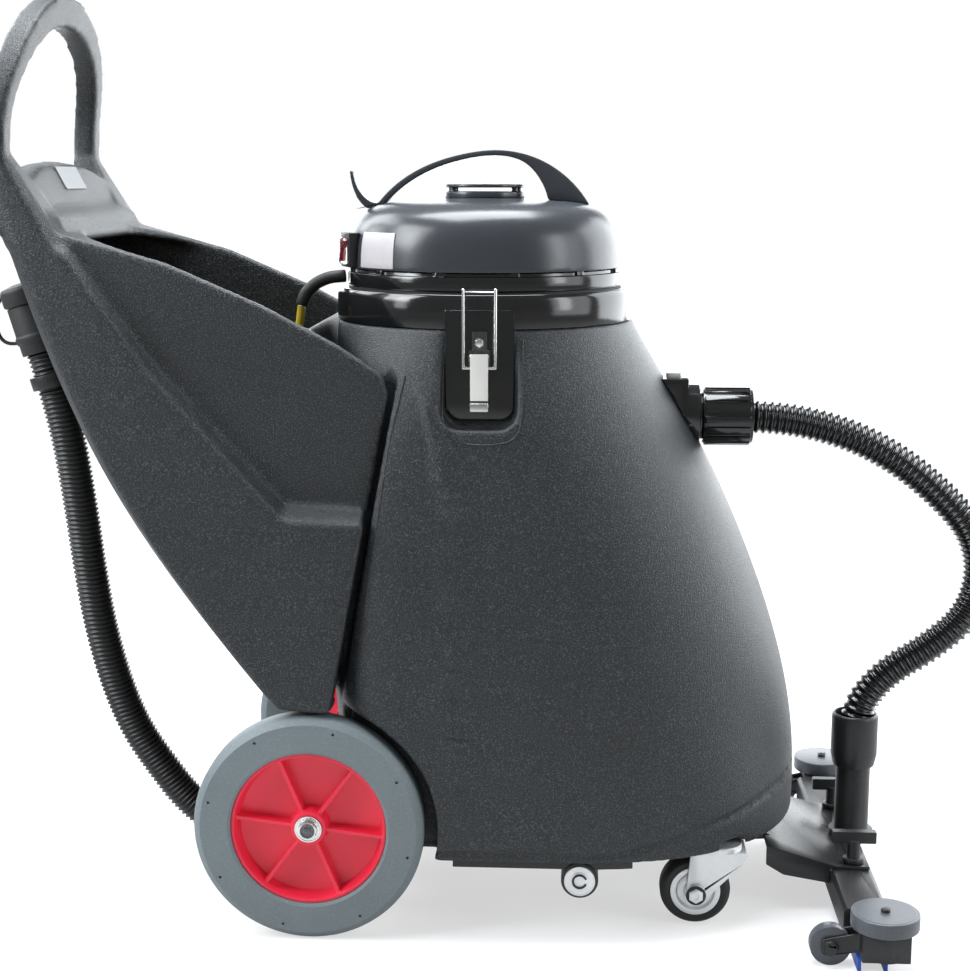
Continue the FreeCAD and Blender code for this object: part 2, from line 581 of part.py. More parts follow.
# ---------------------------------------------------------------- hoses and cords
def tube(name, points, radius):
    """A round tube along straight runs joined by the largest tangent arcs they allow."""
    knots = [vec(*p) for p in points]
    edges = []
    radii = []
    start = knots[0]
    for before, corner, after in zip(knots, knots[1:], knots[2:]):
        run_in = corner.sub(before)
        run_out = after.sub(corner)
        half_turn = run_in.getAngle(run_out) / 2.0
        reach = 0.45 * min(run_in.Length, run_out.Length)
        radii.append(round(reach / math.tan(half_turn)))
        arc_start = corner.sub(vec(*run_in).normalize() * reach)
        arc_end = corner.add(vec(*run_out).normalize() * reach)
        bisector = vec(*run_out).normalize().sub(vec(*run_in).normalize()).normalize()
        middle = corner.add(bisector * (reach / math.tan(half_turn) * (1.0 / math.cos(half_turn) - 1.0)))
        edges.append(Part.LineSegment(start, arc_start).toShape())
        edges.append(Part.Arc(arc_start, middle, arc_end).toShape())
        start = arc_end
    edges.append(Part.LineSegment(start, knots[-1]).toShape())
    path = Part.Wire(edges)
    first_run = knots[1].sub(knots[0])
    section = Part.Wire([Part.makeCircle(radius, knots[0], first_run)])
    solid = path.makePipeShell([section], True, False, 2)
    expected = math.pi * radius * radius * path.Length
    print(name, "length", round(path.Length), "radii", radii, "volume ratio",
          round(solid.Volume / expected, 4))
    return solid


VACUUM_ROUTE = [(300, 0, inlet_z), (348, 0, inlet_z), (404, 0, 549.5), (458, 0, 532), (508, 0, 504),
                (553, 0, 467), (588, 0, 429), (603, 0, 378), (588, 0, 323), (545, 0, 285), (504, 0, 259),
                (478.5, 0, 233), (463.5, 0, 204), (463.5, 0, 169)]
DRAIN_ROUTE = [(-120, -70, 66), (-162, -70, 66), (-205, -71, 62), (-249, -72, 65), (-290, -72, 79),
               (-325, -73, 108), (-353, -74, 147), (-381, -76, 191), (-402, -77, 245), (-418, -79, 311),
               (-428, -81, 384), (-435.5, -85, 468), (-448, -90, 565), (-468.5, -90, 636)]
CORD_ROUTE = [(-184.2, -40, 685), (-188, -40, 655), (-195, -41, 620), (-201, -40, 585), (-204, -39, 551),
              (-204, -38.6, 519)]
save("vacuum_hose", tube("vacuum_hose", VACUUM_ROUTE, hose_r))
save("drain_hose", tube("drain_hose", DRAIN_ROUTE, drain_hose_r))
save("power_cord", tube("power_cord", CORD_ROUTE, cord_r))

# inlet adapter on the tank nose: pad, flange, spigot and an elbow inside that turns the flow down
adapter = box(225, 256, -34, 34, inlet_z - 28, inlet_z + 46)
adapter = adapter.fuse(rod("x", 250, 0, inlet_z + 2, 35.0, 20))
adapter = adapter.cut(tank_loft(0.0, tank_floor_z, neck_top_z))
adapter = fused([adapter, rod("x", 200, 0, inlet_z, inlet_bore_r + 4 - running_gap, 60),
                 rod("x", 260, 0, inlet_z, 26.7, 40), rod("z", 205, 0, inlet_z - 50, 24.0, 74)])
adapter = adapter.cut(rod("x", 205, 0, inlet_z, 17.0, 100)).cut(rod("z", 205, 0, inlet_z - 51, 20.0, 68))
save("inlet_adapter", adapter)
nut = ring("x", nut_x0, 0, inlet_z, nut_r - 2.5, 27.0, nut_x1 - nut_x0)
nut = nut.fuse(ring("x", nut_x1 - 12, 0, inlet_z, nut_r - 2.5, hose_r + 1.5, 12))
for i in range(16):
    grip = box(nut_x0 + 2, nut_x1 - 3, -3.2, 3.2, inlet_z + nut_r - 5, inlet_z + nut_r)
    grip.rotate(vec(0, 0, inlet_z), vec(1, 0, 0), 22.5 * i)
    nut = nut.fuse(grip)
save("inlet_nut", nut)

# drain elbow under the tank, and the parts at the top end of the drain hose
elbow = fused([rod("z", drain_x, drain_y, plate_z - 4, 22.0, 4),
               rod("z", drain_x, drain_y, drain_z, drain_hose_r, 34),
               rod("z", drain_x, drain_y, plate_z - 1, 17.0 - running_gap, 9),
               Part.makeSphere(drain_hose_r, vec(drain_x, drain_y, drain_z)),
               rod("x", DRAIN_ROUTE[0][0], drain_y, drain_z, drain_hose_r, drain_x - DRAIN_ROUTE[0][0])])
elbow = elbow.cut(rod("z", drain_x, drain_y, drain_z - 5, 14.0, 60))
elbow = elbow.cut(rod("x", DRAIN_ROUTE[0][0] - 1, drain_y, drain_z, 14.0, drain_x - DRAIN_ROUTE[0][0] + 5))
save("drain_elbow", elbow)


def along_hose_end(solid):
    """Place a piece drawn up the Z axis on the top end of the drain hose."""
    lean = math.degrees(math.atan2(DRAIN_ROUTE[-1][0] - DRAIN_ROUTE[-2][0],
                                   DRAIN_ROUTE[-1][2] - DRAIN_ROUTE[-2][2]))
    solid.rotate(vec(0, 0, 0), vec(0, 1, 0), lean)
    solid.translate(vec(*DRAIN_ROUTE[-1]))
    return solid


cuff_length = 55.0
drain_cuff_r = 24.0
save("drain_cuff", along_hose_end(turned([(18.0, 0), (23.5, 0), (23.5, 13), (25.5, 14), (25.5, 21),
                                          (drain_cuff_r, 22),
                                          (drain_cuff_r, cuff_length), (18.0, cuff_length)], 0, 0)))
cap_z = cuff_length + soft_gap
save("drain_cap", along_hose_end(turned([(0, cap_z - 12), (17.7, cap_z - 12), (17.7, cap_z), (24.5, cap_z),
                                         (26.5, cap_z + 2), (26.5, cap_z + 17), (24, cap_z + 21),
                                         (10, cap_z + 24), (0, cap_z + 24)], 0, 0)))
clip_ring = along_hose_end(ring("z", 0, 0, -40, drain_hose_r + 5, drain_hose_r, 15))
clip_y = DRAIN_ROUTE[-1][1]
clip_arm = box(-458, -405, clip_y - 11, clip_y + 11, 598, 613)
clip_arm = clip_arm.cut(along_hose_end(rod("z", 0, 0, -60, drain_hose_r, 80)))
clip = clip_ring.fuse(clip_arm).cut(Part.Face(core_wire).extrude(vec(0, 2 * panel_half, 0)))
save("hose_clip", clip)

# cord store in the bin: a round coil with the plug lying on it
coil_x = -250.0
coil_mid_r = 60.0
coil_half = 27.0
coil_top_z = CORD_ROUTE[-1][2]
save("cord_coil", ring("z", coil_x, 0, bin_floor_z + soft_gap, coil_mid_r + coil_half,
                       coil_mid_r - coil_half,
                       coil_top_z - bin_floor_z - soft_gap))
plug_x = -287.0
plug_z = coil_top_z + 17.3
pin_r = 2.4
plug = rod("y", plug_x, -24, plug_z, 17.0, 44).common(box(plug_x - 17, plug_x + 17, -24, 20, plug_z - 17,
                                                          plug_z + 12))
for side in (-1, 1):
    plug = plug.fuse(rod("y", plug_x + side * 9.5, 15, plug_z, pin_r, 24))
plug = plug.fuse(rod("y", plug_x, -46, plug_z, 6.5, 24))
save("mains_plug", plug)

# ---------------------------------------------------------------- latches
pivot_y = 176.5
hinge_z = 642.0
hook_z = 630.0
pin = 1.5
wire_r = 1.6
lever_half = 9.5
ear_thick = 1.6
ear_x = lever_half + 0.2
plate_y = tongue_face_y + 2.0
plate = box(latch_x - 8, latch_x + 8, tongue_face_y, plate_y, 640, 668)
foot = box(latch_x - ear_x - ear_thick, latch_x + ear_x + ear_thick, tongue_face_y, plate_y, 628, 648)
ears = [box(latch_x + x, latch_x + x + ear_thick, plate_y - 0.5, 179, 637,
            647) for x in (-ear_x - ear_thick, ear_x)]
screw = rod("y", latch_x, plate_y - 0.5, 657, 5.0, 3.2)
latch_plate = fused([plate, foot, screw] + ears
                    + [rod("x", latch_x - ear_x - ear_thick, pivot_y, hinge_z, pin,
                           2 * (ear_x + ear_thick))])
lever = box(latch_x - lever_half, latch_x + lever_half, 177.5, 180, 584, 645)
lever = lever.fuse(box(latch_x - lever_half, latch_x + lever_half, 173.5, 180, 626, 645))
lever = lever.cut(rod("x", latch_x - 20, pivot_y, hinge_z, pin + running_gap, 40))
lever = lever.cut(rod("x", latch_x - 20, pivot_y, hook_z, wire_r + running_gap, 40))
lever = lever.cut(box(latch_x - 3, latch_x + 3, 170, 185, 588, 592))
reach = 17.0
hook_y = 160.5
hook_top_z = 708.6
bail_parts = [rod("x", latch_x - reach, pivot_y, hook_z, wire_r, 2 * reach),
              rod("x", latch_x - reach, hook_y, hook_top_z, wire_r, 2 * reach)]
for x in (latch_x - reach, latch_x + reach):
    bail_parts.append(rod("z", x, pivot_y, hook_z, wire_r, hook_top_z + 4 - hook_z))
    lean = vec(0, hook_y - pivot_y, -4.0)
    bail_parts.append(Part.makeCylinder(wire_r, lean.Length, vec(x, pivot_y, hook_top_z + 4), lean))
    for y, z in ((pivot_y, hook_z), (pivot_y, hook_top_z + 4), (hook_y, hook_top_z)):
        bail_parts.append(Part.makeSphere(wire_r, vec(x, y, z)))
bail = bail_parts[0].multiFuse(bail_parts[1:])
save("latch_plates", latch_plate, mirrored(latch_plate))
for side_name, place in (("left", lambda s: s), ("right", mirrored)):
    save("latch_lever_" + side_name, place(lever))
    save("latch_bail_" + side_name, place(bail))

# ---------------------------------------------------------------- motor head
head_z = collar_top_z + gasket_z + soft_gap
head_ring = turned([(62, 712), (144.5, 712), (144.5, 690), (mouth_r - 1.5, 690), (mouth_r - 1.5, head_z),
                    (head_r, head_z), (head_r, 724), (152, 724), (152, dome_foot_z - 1),
                    (148, dome_foot_z - 1),
                    (148, 716), (62, 716)], neck_x, 0)
for i in range(12):
    tab = box(neck_x + 149, neck_x + 155.5, -5, 5, 723, dome_foot_z)
    tab.rotate(vec(neck_x, 0, 0), vec(0, 0, 1), 15.0 + 30.0 * i)
    head_ring = head_ring.fuse(tab)
head_ring = head_ring.cut(rod("x", -150, -40, 719, 5.5, 40))
save("head_ring", head_ring)

DOME_CURVE = [(dome_r, dome_foot_z), (155.5, 748), (151, 771), (139, 789), (118, 798.5), (80, 803),
              (46, dome_crown_z)]


def dome_body(inset):
    """The solid under the dome's outer curve, moved inwards by inset."""
    curve = Part.BSplineCurve()
    curve.interpolate([vec(max(r - inset, 0.0), 0, z - inset if z > dome_foot_z else z) for r,
                       z in DOME_CURVE])
    top_z = dome_crown_z - inset
    top_r = 46.0 - inset
    edges = [curve.toShape(), Part.makeLine(vec(top_r, 0, top_z), vec(0, 0, top_z)),
             Part.makeLine(vec(0, 0, top_z), vec(0, 0, dome_foot_z)),
             Part.makeLine(vec(0, 0, dome_foot_z), vec(dome_r - inset, 0, dome_foot_z))]
    solid = Part.Face(Part.Wire(edges)).revolve(vec(0, 0, 0), vec(0, 0, 1), 360)
    solid.translate(vec(dome_x, 0, 0))
    return solid


dome_outer = dome_body(0.0)
dome = dome_outer.cut(dome_body(cover_wall)).cut(rod("z", dome_x, 0, 790, 34.0, 30))
switch_angle = 21.0
switch_half = 20.0
switch_window = box(dome_x - 175, dome_x - 130, -11, 11, 735, 761)
switch_window.rotate(vec(dome_x, 0, 0), vec(0, 0, 1), switch_angle)
save("dome_cover", dome.cut(switch_window))
vent = ring("z", dome_x, 0, dome_crown_z, vent_r, 30.0, 7.0).fuse(rod("z", dome_x, 0, 817.5, vent_r, 3.8))
for degrees in (-25, 0, 25, 155, 180, 205):
    angle = math.radians(degrees)
    vent = vent.fuse(rod("z", dome_x + 38 * math.cos(angle), 38 * math.sin(angle), 812, 3.0, 6))
save("vent_cap", vent)

handle_half_width = 13.0
handle_top = [(-106, 790), (-76, 823), (-41, 843), (-1, 855), (39, 859), (84, 849), (112, 832), (146, 790)]
handle_low = [(-98, 790), (-71, 817.5), (-38, 837), (0, 849), (36, 853), (66, 846), (84, 828), (96, 790)]
strap = spline_plate(handle_top, handle_low, -handle_half_width, handle_half_width)
hook = spline_plate([(-131.5, 836), (-128, 817), (-118, 799), (-98, 790)],
                    [(-127, 835), (-122.5, 818), (-113, 805), (-94, 800)], -handle_half_width,
                    handle_half_width)
save("carry_handle", strap.fuse(hook).cut(dome_outer))

switch_box = box(dome_x - 164, dome_x - 140, -switch_half, switch_half, dome_foot_z + 1, 768)
switch_box = switch_box.cut(box(dome_x - 175, dome_x - 150, -9.6, 9.6, 735.5, 760.5))
switch_pin = rod("y", dome_x - 161, -12, 748, 1.5, 24)
switch_box = switch_box.fuse(switch_pin)
switch_box.rotate(vec(dome_x, 0, 0), vec(0, 0, 1), switch_angle)
switch_cut = dome_outer.cut(dome_body(cover_wall + 6)).cut(switch_window)
save("switch_box", switch_box.cut(switch_cut))
rocker = side_plate([(dome_x - 164, 737), (dome_x - 158.5, 740), (dome_x - 158.5, 756), (dome_x - 164, 759),
                     (dome_x - 168.5, 759), (dome_x - 165, 748), (dome_x - 165.5, 737)], -9, 9)
rocker = rocker.cut(rod("y", dome_x - 161, -20, 748, 1.5 + running_gap, 40))
rocker.rotate(vec(dome_x, 0, 0), vec(0, 0, 1), switch_angle)
save("rocker_switch", rocker)

label_zone = Part.Face(polygon_wire([vec(140, 0, 731), vec(165, 0, 731), vec(165, 0, 769.5),
                                     vec(140, 0, 769.5)]))
label_zone = label_zone.revolve(vec(0, 0, 0), vec(0, 0, 1), 21.5)
label_zone.rotate(vec(0, 0, 0), vec(0, 0, 1), 212.5)
label_zone.translate(vec(dome_x, 0, 0))
save("rating_label", dome_body(-0.8).cut(dome_outer).common(label_zone))

motor_r = 58.0
motor = turned([(0, 706), (motor_r - 4, 706), (motor_r - 4, 646), (20, 646), (20, 642), (motor_r, 642),
                (motor_r, 716), (70, 716), (70, 720), (46, 720), (46, 785), (38, 790), (0, 790)], neck_x, 0)
motor = motor.cut(rod("z", neck_x, 0, 700, 4.0 + running_gap, 60))
save("motor", motor)
fan = fused([rod("z", neck_x, 0, 656, 50.0, 2.5), rod("z", neck_x, 0, 656, 4.0, 90),
             rod("z", neck_x, 0, 656, 12.0, 20)]
            + [box(neck_x + 14, neck_x + 48, -1, 1, 657, 674).rotated(vec(neck_x, 0, 0), vec(0, 0, 1),
                                                                      45.0 * i)
               for i in range(8)])
save("fan_wheel", fan)

cage_r = 92.0
cage = turned([(75, 708), (cage_r - 4, 708), (cage_r - 4, 560), (30, 560), (30, 556), (45, 556), (45, 480),
               (20, 480), (20, 476), (48, 476), (48, 556), (cage_r, 556), (cage_r, 708), (140, 708),
               (140, 712),
               (75, 712)], neck_x, 0)
for i in range(8):
    slot = box(neck_x + 60, neck_x + 120, -12, 12, 575, 690)
    slot = slot.fuse(box(neck_x + 30, neck_x + 60, -9, 9, 490, 545))
    slot.rotate(vec(neck_x, 0, 0), vec(0, 0, 1), 45.0 * i)
    cage = cage.cut(slot)
save("filter_cage", cage)
save("filter_sleeve", ring("z", neck_x, 0, 562, cage_r + 4.3, cage_r + soft_gap, 144))
float_r = 34.0
save("float_ball", Part.makeSphere(float_r, vec(neck_x, 0,
                                                480 + math.sqrt(float_r ** 2 - 20.0 ** 2) + soft_gap)))

SLEEVE_ROUTE = [(-133.5, -40, 719), (-152, -40, 717.5), (-168, -40, 710.5), (-179.5, -40, 699),
                (-184, -40, 686)]
save("cord_sleeve", tube("cord_sleeve", SLEEVE_ROUTE, 7.0))
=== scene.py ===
import json
import math

import bpy
from mathutils import Matrix, Vector

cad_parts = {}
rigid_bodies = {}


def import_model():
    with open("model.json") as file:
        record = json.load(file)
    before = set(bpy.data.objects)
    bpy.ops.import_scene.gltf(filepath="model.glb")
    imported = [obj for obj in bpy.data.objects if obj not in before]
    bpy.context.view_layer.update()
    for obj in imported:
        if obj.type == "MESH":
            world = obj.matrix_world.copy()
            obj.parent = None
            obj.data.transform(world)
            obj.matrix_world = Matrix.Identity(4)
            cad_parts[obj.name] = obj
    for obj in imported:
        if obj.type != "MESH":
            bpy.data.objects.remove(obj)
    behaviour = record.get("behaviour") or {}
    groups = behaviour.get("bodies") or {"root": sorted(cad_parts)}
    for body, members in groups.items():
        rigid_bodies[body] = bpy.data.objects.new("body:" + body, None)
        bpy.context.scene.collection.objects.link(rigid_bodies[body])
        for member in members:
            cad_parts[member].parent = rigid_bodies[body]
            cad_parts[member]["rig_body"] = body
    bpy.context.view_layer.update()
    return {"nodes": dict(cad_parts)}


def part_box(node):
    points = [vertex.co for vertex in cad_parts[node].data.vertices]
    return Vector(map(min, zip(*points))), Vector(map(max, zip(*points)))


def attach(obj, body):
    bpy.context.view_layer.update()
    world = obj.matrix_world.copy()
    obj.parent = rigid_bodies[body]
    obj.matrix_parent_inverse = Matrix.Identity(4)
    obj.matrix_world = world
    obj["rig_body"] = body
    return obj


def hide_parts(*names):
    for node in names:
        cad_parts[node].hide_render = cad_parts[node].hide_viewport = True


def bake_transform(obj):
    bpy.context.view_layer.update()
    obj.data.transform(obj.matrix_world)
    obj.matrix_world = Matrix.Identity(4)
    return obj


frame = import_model()

# ---------------------------------------------------------------- studio
# A pale floor that fades into a white room. Large soft lamps stand left, right, above, behind and past
# the front end, one lights the far side, and two narrow strips at the near corners streak the gloss.
bpy.context.scene.view_settings.view_transform = "Standard"


def new_material(name):
    """An empty node material and its shader."""
    material = bpy.data.materials.new(name)
    material.use_nodes = True
    return material, material.node_tree, material.node_tree.nodes["Principled BSDF"]


def add_node(tree, kind, settings=(), **values):
    """A shader node with its settings and its unlinked input values."""
    new = tree.nodes.new(kind)
    for name, value in settings:
        setattr(new, name, value)
    for name, value in values.items():
        new.inputs[name.replace("_", " ")].default_value = value
    return new


floor_radius = 24.0
floor_fade_from = 0.9
floor_fade_to = 3.2
floor_fades = (("Base Color", 0.40, 0.0), ("Emission Color", 0.58, 1.0))
floor_light = 0.35
bpy.ops.object.select_all(action="DESELECT")
bpy.ops.mesh.primitive_circle_add(vertices=96, radius=floor_radius, fill_type="NGON", location=(0, 0, 0))
floor = bpy.context.object
floor.name = "studio_floor"
floor_paint, floor_tree, floor_shader = new_material("floor_paint")
floor_shader.inputs["Roughness"].default_value = 0.8
floor_place = floor_tree.nodes.new("ShaderNodeTexCoord")
floor_reach = add_node(floor_tree, "ShaderNodeVectorMath", (("operation", "LENGTH"),))
floor_tree.links.new(floor_place.outputs["Object"], floor_reach.inputs[0])
for socket, near, far in floor_fades:
    fade = add_node(floor_tree, "ShaderNodeMapRange", From_Min=floor_fade_from, From_Max=floor_fade_to,
                    To_Min=near, To_Max=far)
    floor_tree.links.new(floor_reach.outputs["Value"], fade.inputs["Value"])
    floor_tree.links.new(fade.outputs["Result"], floor_shader.inputs[socket])
floor_glow = add_node(floor_tree, "ShaderNodeMapRange", To_Min=floor_light, To_Max=1.0)
floor_seen = floor_tree.nodes.new("ShaderNodeLightPath")
floor_tree.links.new(floor_seen.outputs["Is Camera Ray"], floor_glow.inputs["Value"])
floor_tree.links.new(floor_glow.outputs["Result"], floor_shader.inputs["Emission Strength"])
floor.data.materials.append(floor_paint)

room_light = 0.27
room = bpy.data.worlds.new("white_room")
bpy.context.scene.world = room
room.use_nodes = True
backdrop = room.node_tree.nodes["Background"]
backdrop.inputs["Color"].default_value = (1.0, 1.0, 1.0, 1)
seen = room.node_tree.nodes.new("ShaderNodeLightPath")
strength = add_node(room.node_tree, "ShaderNodeMapRange", To_Min=room_light, To_Max=1.0)
room.node_tree.links.new(seen.outputs["Is Camera Ray"], strength.inputs["Value"])
room.node_tree.links.new(strength.outputs["Result"], backdrop.inputs["Strength"])

lamp_tint = (0.93, 0.97, 1.0)


def soft_lamp(name, place, aim, width, height, power):
    """A large rectangular lamp that faces a point."""
    lamp = bpy.data.lights.new(name, "AREA")
    lamp.shape = "RECTANGLE"
    lamp.size = width
    lamp.size_y = height
    lamp.energy = power
    lamp.color = lamp_tint
    holder = bpy.data.objects.new(name, lamp)
    bpy.context.scene.collection.objects.link(holder)
    facing = (Vector(aim) - Vector(place)).to_track_quat("-Z", "Y")
    holder.matrix_world = Matrix.Translation(place) @ facing.to_matrix().to_4x4()


soft_lamp("left_lamp", (-2.0, -0.75, 1.8), (0, 0, 0.6), width=1.2, height=1.4, power=58)
soft_lamp("right_lamp", (2.3, -0.75, 1.1), (0, 0, 0.6), width=1.5, height=1.5, power=17)
soft_lamp("top_lamp", (-0.1, 0.2, 2.7), (0, 0, 0.5), width=1.8, height=1.4, power=115)
soft_lamp("rear_lamp", (-1.9, 1.0, 1.9), (-0.1, 0, 0.7), width=1.5, height=1.4, power=45)
soft_lamp("front_end_lamp", (2.3, 1.35, 1.1), (0.2, 0, 0.5), width=2.2, height=2.2, power=74)
soft_lamp("backdrop_lamp", (0, 2.8, 0.9), (0, 0, 0.4), width=4.4, height=1.6, power=76)
soft_lamp("left_strip", (-2.1, -1.1, 1.4), (0, 0, 0.6), width=0.45, height=1.3, power=9)
soft_lamp("right_strip", (2.2, -1.0, 1.3), (0, 0, 0.6), width=0.45, height=1.3, power=9)

lens_mm = 63.69
sensor_mm = 36.0
view_reach = 60.0
camera_place = (0.1333, -1.9823, 0.8289)
camera_tilt = math.radians(79.825)
camera_roll = math.radians(-0.057)
camera_pan = math.radians(3.212)
camera_lens = bpy.data.cameras.new("camera")
camera_lens.lens = lens_mm
camera_lens.sensor_width = sensor_mm
camera_lens.clip_end = view_reach
camera = bpy.data.objects.new("camera", camera_lens)
camera.location = camera_place
camera.rotation_euler = (camera_tilt, camera_roll, camera_pan)
bpy.context.scene.collection.objects.link(camera)
bpy.context.scene.camera = camera

# ---------------------------------------------------------------- vacuum hose
# A flexible black suction hose with bold rounded ribs, extruded as one corrugated tube. It runs
# from the tank's nut, out over the front and down into the cuff of the squeegee pipe.


def take_hold(piece):
    """Leave only this piece selected, and active."""
    bpy.ops.object.select_all(action="DESELECT")
    piece.select_set(True)
    bpy.context.view_layer.objects.active = piece


def moulded_surface_group():
    """Colour, roughness and normal of a moulded surface: fine grain and soft patches."""
    group = bpy.data.node_groups.new("moulded_surface", "ShaderNodeTree")
    for name, kind, value in (("Color", "NodeSocketColor", (0.02, 0.02, 0.02, 1)),
                              ("Fleck Color", "NodeSocketColor", (0.05, 0.05, 0.05, 1)),
                              ("Fleck Amount", "NodeSocketFloat", 0.5),
                              ("Grain Scale", "NodeSocketFloat", 400.0),
                              ("Grain Height", "NodeSocketFloat", 0.3),
                              ("Roughness", "NodeSocketFloat", 0.5),
                              ("Roughness Spread", "NodeSocketFloat", 0.1)):
        group.interface.new_socket(name, in_out="INPUT", socket_type=kind).default_value = value
    for name, kind in (("Color", "NodeSocketColor"), ("Roughness", "NodeSocketFloat"),
                       ("Normal", "NodeSocketVector")):
        group.interface.new_socket(name, in_out="OUTPUT", socket_type=kind)
    link = group.links.new
    start = group.nodes.new("NodeGroupInput")
    end = group.nodes.new("NodeGroupOutput")
    place = group.nodes.new("ShaderNodeTexCoord")
    grain = add_node(group, "ShaderNodeTexNoise", Detail=3.0, Roughness=0.55)
    link(place.outputs["Object"], grain.inputs["Vector"])
    link(start.outputs["Grain Scale"], grain.inputs["Scale"])
    patches = add_node(group, "ShaderNodeTexNoise", Scale=7.0, Detail=3.0, Roughness=0.55)
    link(place.outputs["Object"], patches.inputs["Vector"])
    fleck = add_node(group, "ShaderNodeMapRange", From_Min=0.5, From_Max=0.72)
    link(grain.outputs["Fac"], fleck.inputs["Value"])
    fleck_mask = add_node(group, "ShaderNodeMath", (("operation", "MULTIPLY"),))
    link(fleck.outputs["Result"], fleck_mask.inputs[0])
    link(start.outputs["Fleck Amount"], fleck_mask.inputs[1])
    tint = add_node(group, "ShaderNodeMix", (("data_type", "RGBA"),))
    colour_a = 6
    colour_b = 7
    colour_out = 2
    link(fleck_mask.outputs[0], tint.inputs["Factor"])
    link(start.outputs["Color"], tint.inputs[colour_a])
    link(start.outputs["Fleck Color"], tint.inputs[colour_b])
    fade = add_node(group, "ShaderNodeMapRange", From_Min=0.3, From_Max=0.7, To_Min=0.88, To_Max=1.1)
    link(patches.outputs["Fac"], fade.inputs["Value"])
    shade = add_node(group, "ShaderNodeVectorMath", (("operation", "SCALE"),))
    link(tint.outputs[colour_out], shade.inputs[0])
    link(fade.outputs["Result"], shade.inputs["Scale"])
    link(shade.outputs["Vector"], end.inputs["Color"])
    centred = add_node(group, "ShaderNodeMath", (("operation", "SUBTRACT"),))
    centred.inputs[1].default_value = 0.5
    link(patches.outputs["Fac"], centred.inputs[0])
    spread = add_node(group, "ShaderNodeMath", (("operation", "MULTIPLY_ADD"),))
    link(centred.outputs[0], spread.inputs[0])
    link(start.outputs["Roughness Spread"], spread.inputs[1])
    link(start.outputs["Roughness"], spread.inputs[2])
    link(spread.outputs[0], end.inputs["Roughness"])
    bump = add_node(group, "ShaderNodeBump", Distance=0.0010)
    link(start.outputs["Grain Height"], bump.inputs["Strength"])
    link(grain.outputs["Fac"], bump.inputs["Height"])
    link(bump.outputs["Normal"], end.inputs["Normal"])
    return group


moulded_surface = moulded_surface_group()


def grained(name, colour, fleck, flecks, scale, height, roughness, spread=0.1, **constants):
    """A material with the grain of a moulded, cast or coated surface."""
    material, tree, shader = new_material(name)
    for socket, value in constants.items():
        shader.inputs[socket.replace("_", " ")].default_value = value
    skin = tree.nodes.new("ShaderNodeGroup")
    skin.node_tree = moulded_surface
    for socket, value in (("Color", colour + (1,)), ("Fleck Color", fleck + (1,)), ("Fleck Amount", flecks),
                          ("Grain Scale", scale), ("Grain Height", height), ("Roughness", roughness),
                          ("Roughness Spread", spread)):
        skin.inputs[socket].default_value = value
    for socket, target in (("Color", "Base Color"), ("Roughness", "Roughness"), ("Normal", "Normal")):
        tree.links.new(skin.outputs[socket], shader.inputs[target])
    return material


def smooth_line(name, points):
    """The points along a smooth open curve whose control points are a route's points."""
    data = bpy.data.curves.new(name, "CURVE")
    data.dimensions = "3D"
    data.resolution_u = 12
    spline = data.splines.new("NURBS")
    spline.points.add(len(points) - 1)
    for point, place in zip(spline.points, points):
        point.co = (*place, 1.0)
    spline.order_u = 3
    spline.use_endpoint_u = True
    curve = bpy.data.objects.new(name, data)
    bpy.context.scene.collection.objects.link(curve)
    bpy.context.view_layer.update()
    mesh = bpy.data.meshes.new_from_object(curve)
    line = [vertex.co.copy() for vertex in mesh.vertices]
    bpy.data.meshes.remove(mesh)
    bpy.data.objects.remove(curve)
    return line


def even_places(line, step):
    """Places at about even steps along a line, each with the line's direction there."""
    reached = [0.0]
    for a, b in zip(line, line[1:]):
        reached.append(reached[-1] + (b - a).length)
    count = max(2, round(reached[-1] / step))
    places = []
    index = 0
    for i in range(count + 1):
        at = reached[-1] * i / count
        while index < len(line) - 2 and reached[index + 1] < at:
            index += 1
        share = (at - reached[index]) / max(reached[index + 1] - reached[index], 1e-9)
        places.append(line[index].lerp(line[index + 1], min(share, 1.0)))
    ways = [(places[min(i + 1, count)] - places[max(i - 1, 0)]).normalized() for i in range(count + 1)]
    return list(zip(places, ways))


def hose_tube(name, line, step, radii, sides):
    """A closed tube along a line, whose radius repeats the list of radii, one for each step."""
    places = even_places(line, step)
    across = places[0][1].orthogonal().normalized()
    corners = []
    for i, (place, way) in enumerate(places):
        across = (across - way * across.dot(way)).normalized()
        upward = way.cross(across)
        radius = radii[i % len(radii)]
        for k in range(sides):
            turn = 2 * math.pi * k / sides
            corners.append(place + across * (radius * math.cos(turn)) + upward * (radius * math.sin(turn)))
    walls = []
    for i in range(len(places) - 1):
        for k in range(sides):
            a = i * sides + k
            b = i * sides + (k + 1) % sides
            walls.append((a, b, b + sides, a + sides))
    top = (len(places) - 1) * sides
    walls.append(tuple(reversed(range(sides))))
    walls.append(tuple(range(top, top + sides)))
    mesh = bpy.data.meshes.new(name)
    mesh.from_pydata([tuple(c) for c in corners], [], walls)
    piece = bpy.data.objects.new(name, mesh)
    bpy.context.scene.collection.objects.link(piece)
    take_hold(piece)
    bpy.ops.object.mode_set(mode="EDIT")
    bpy.ops.mesh.select_all(action="SELECT")
    bpy.ops.mesh.normals_make_consistent(inside=False)
    bpy.ops.object.mode_set(mode="OBJECT")
    bpy.ops.object.shade_smooth_by_angle(angle=math.radians(60))
    return piece


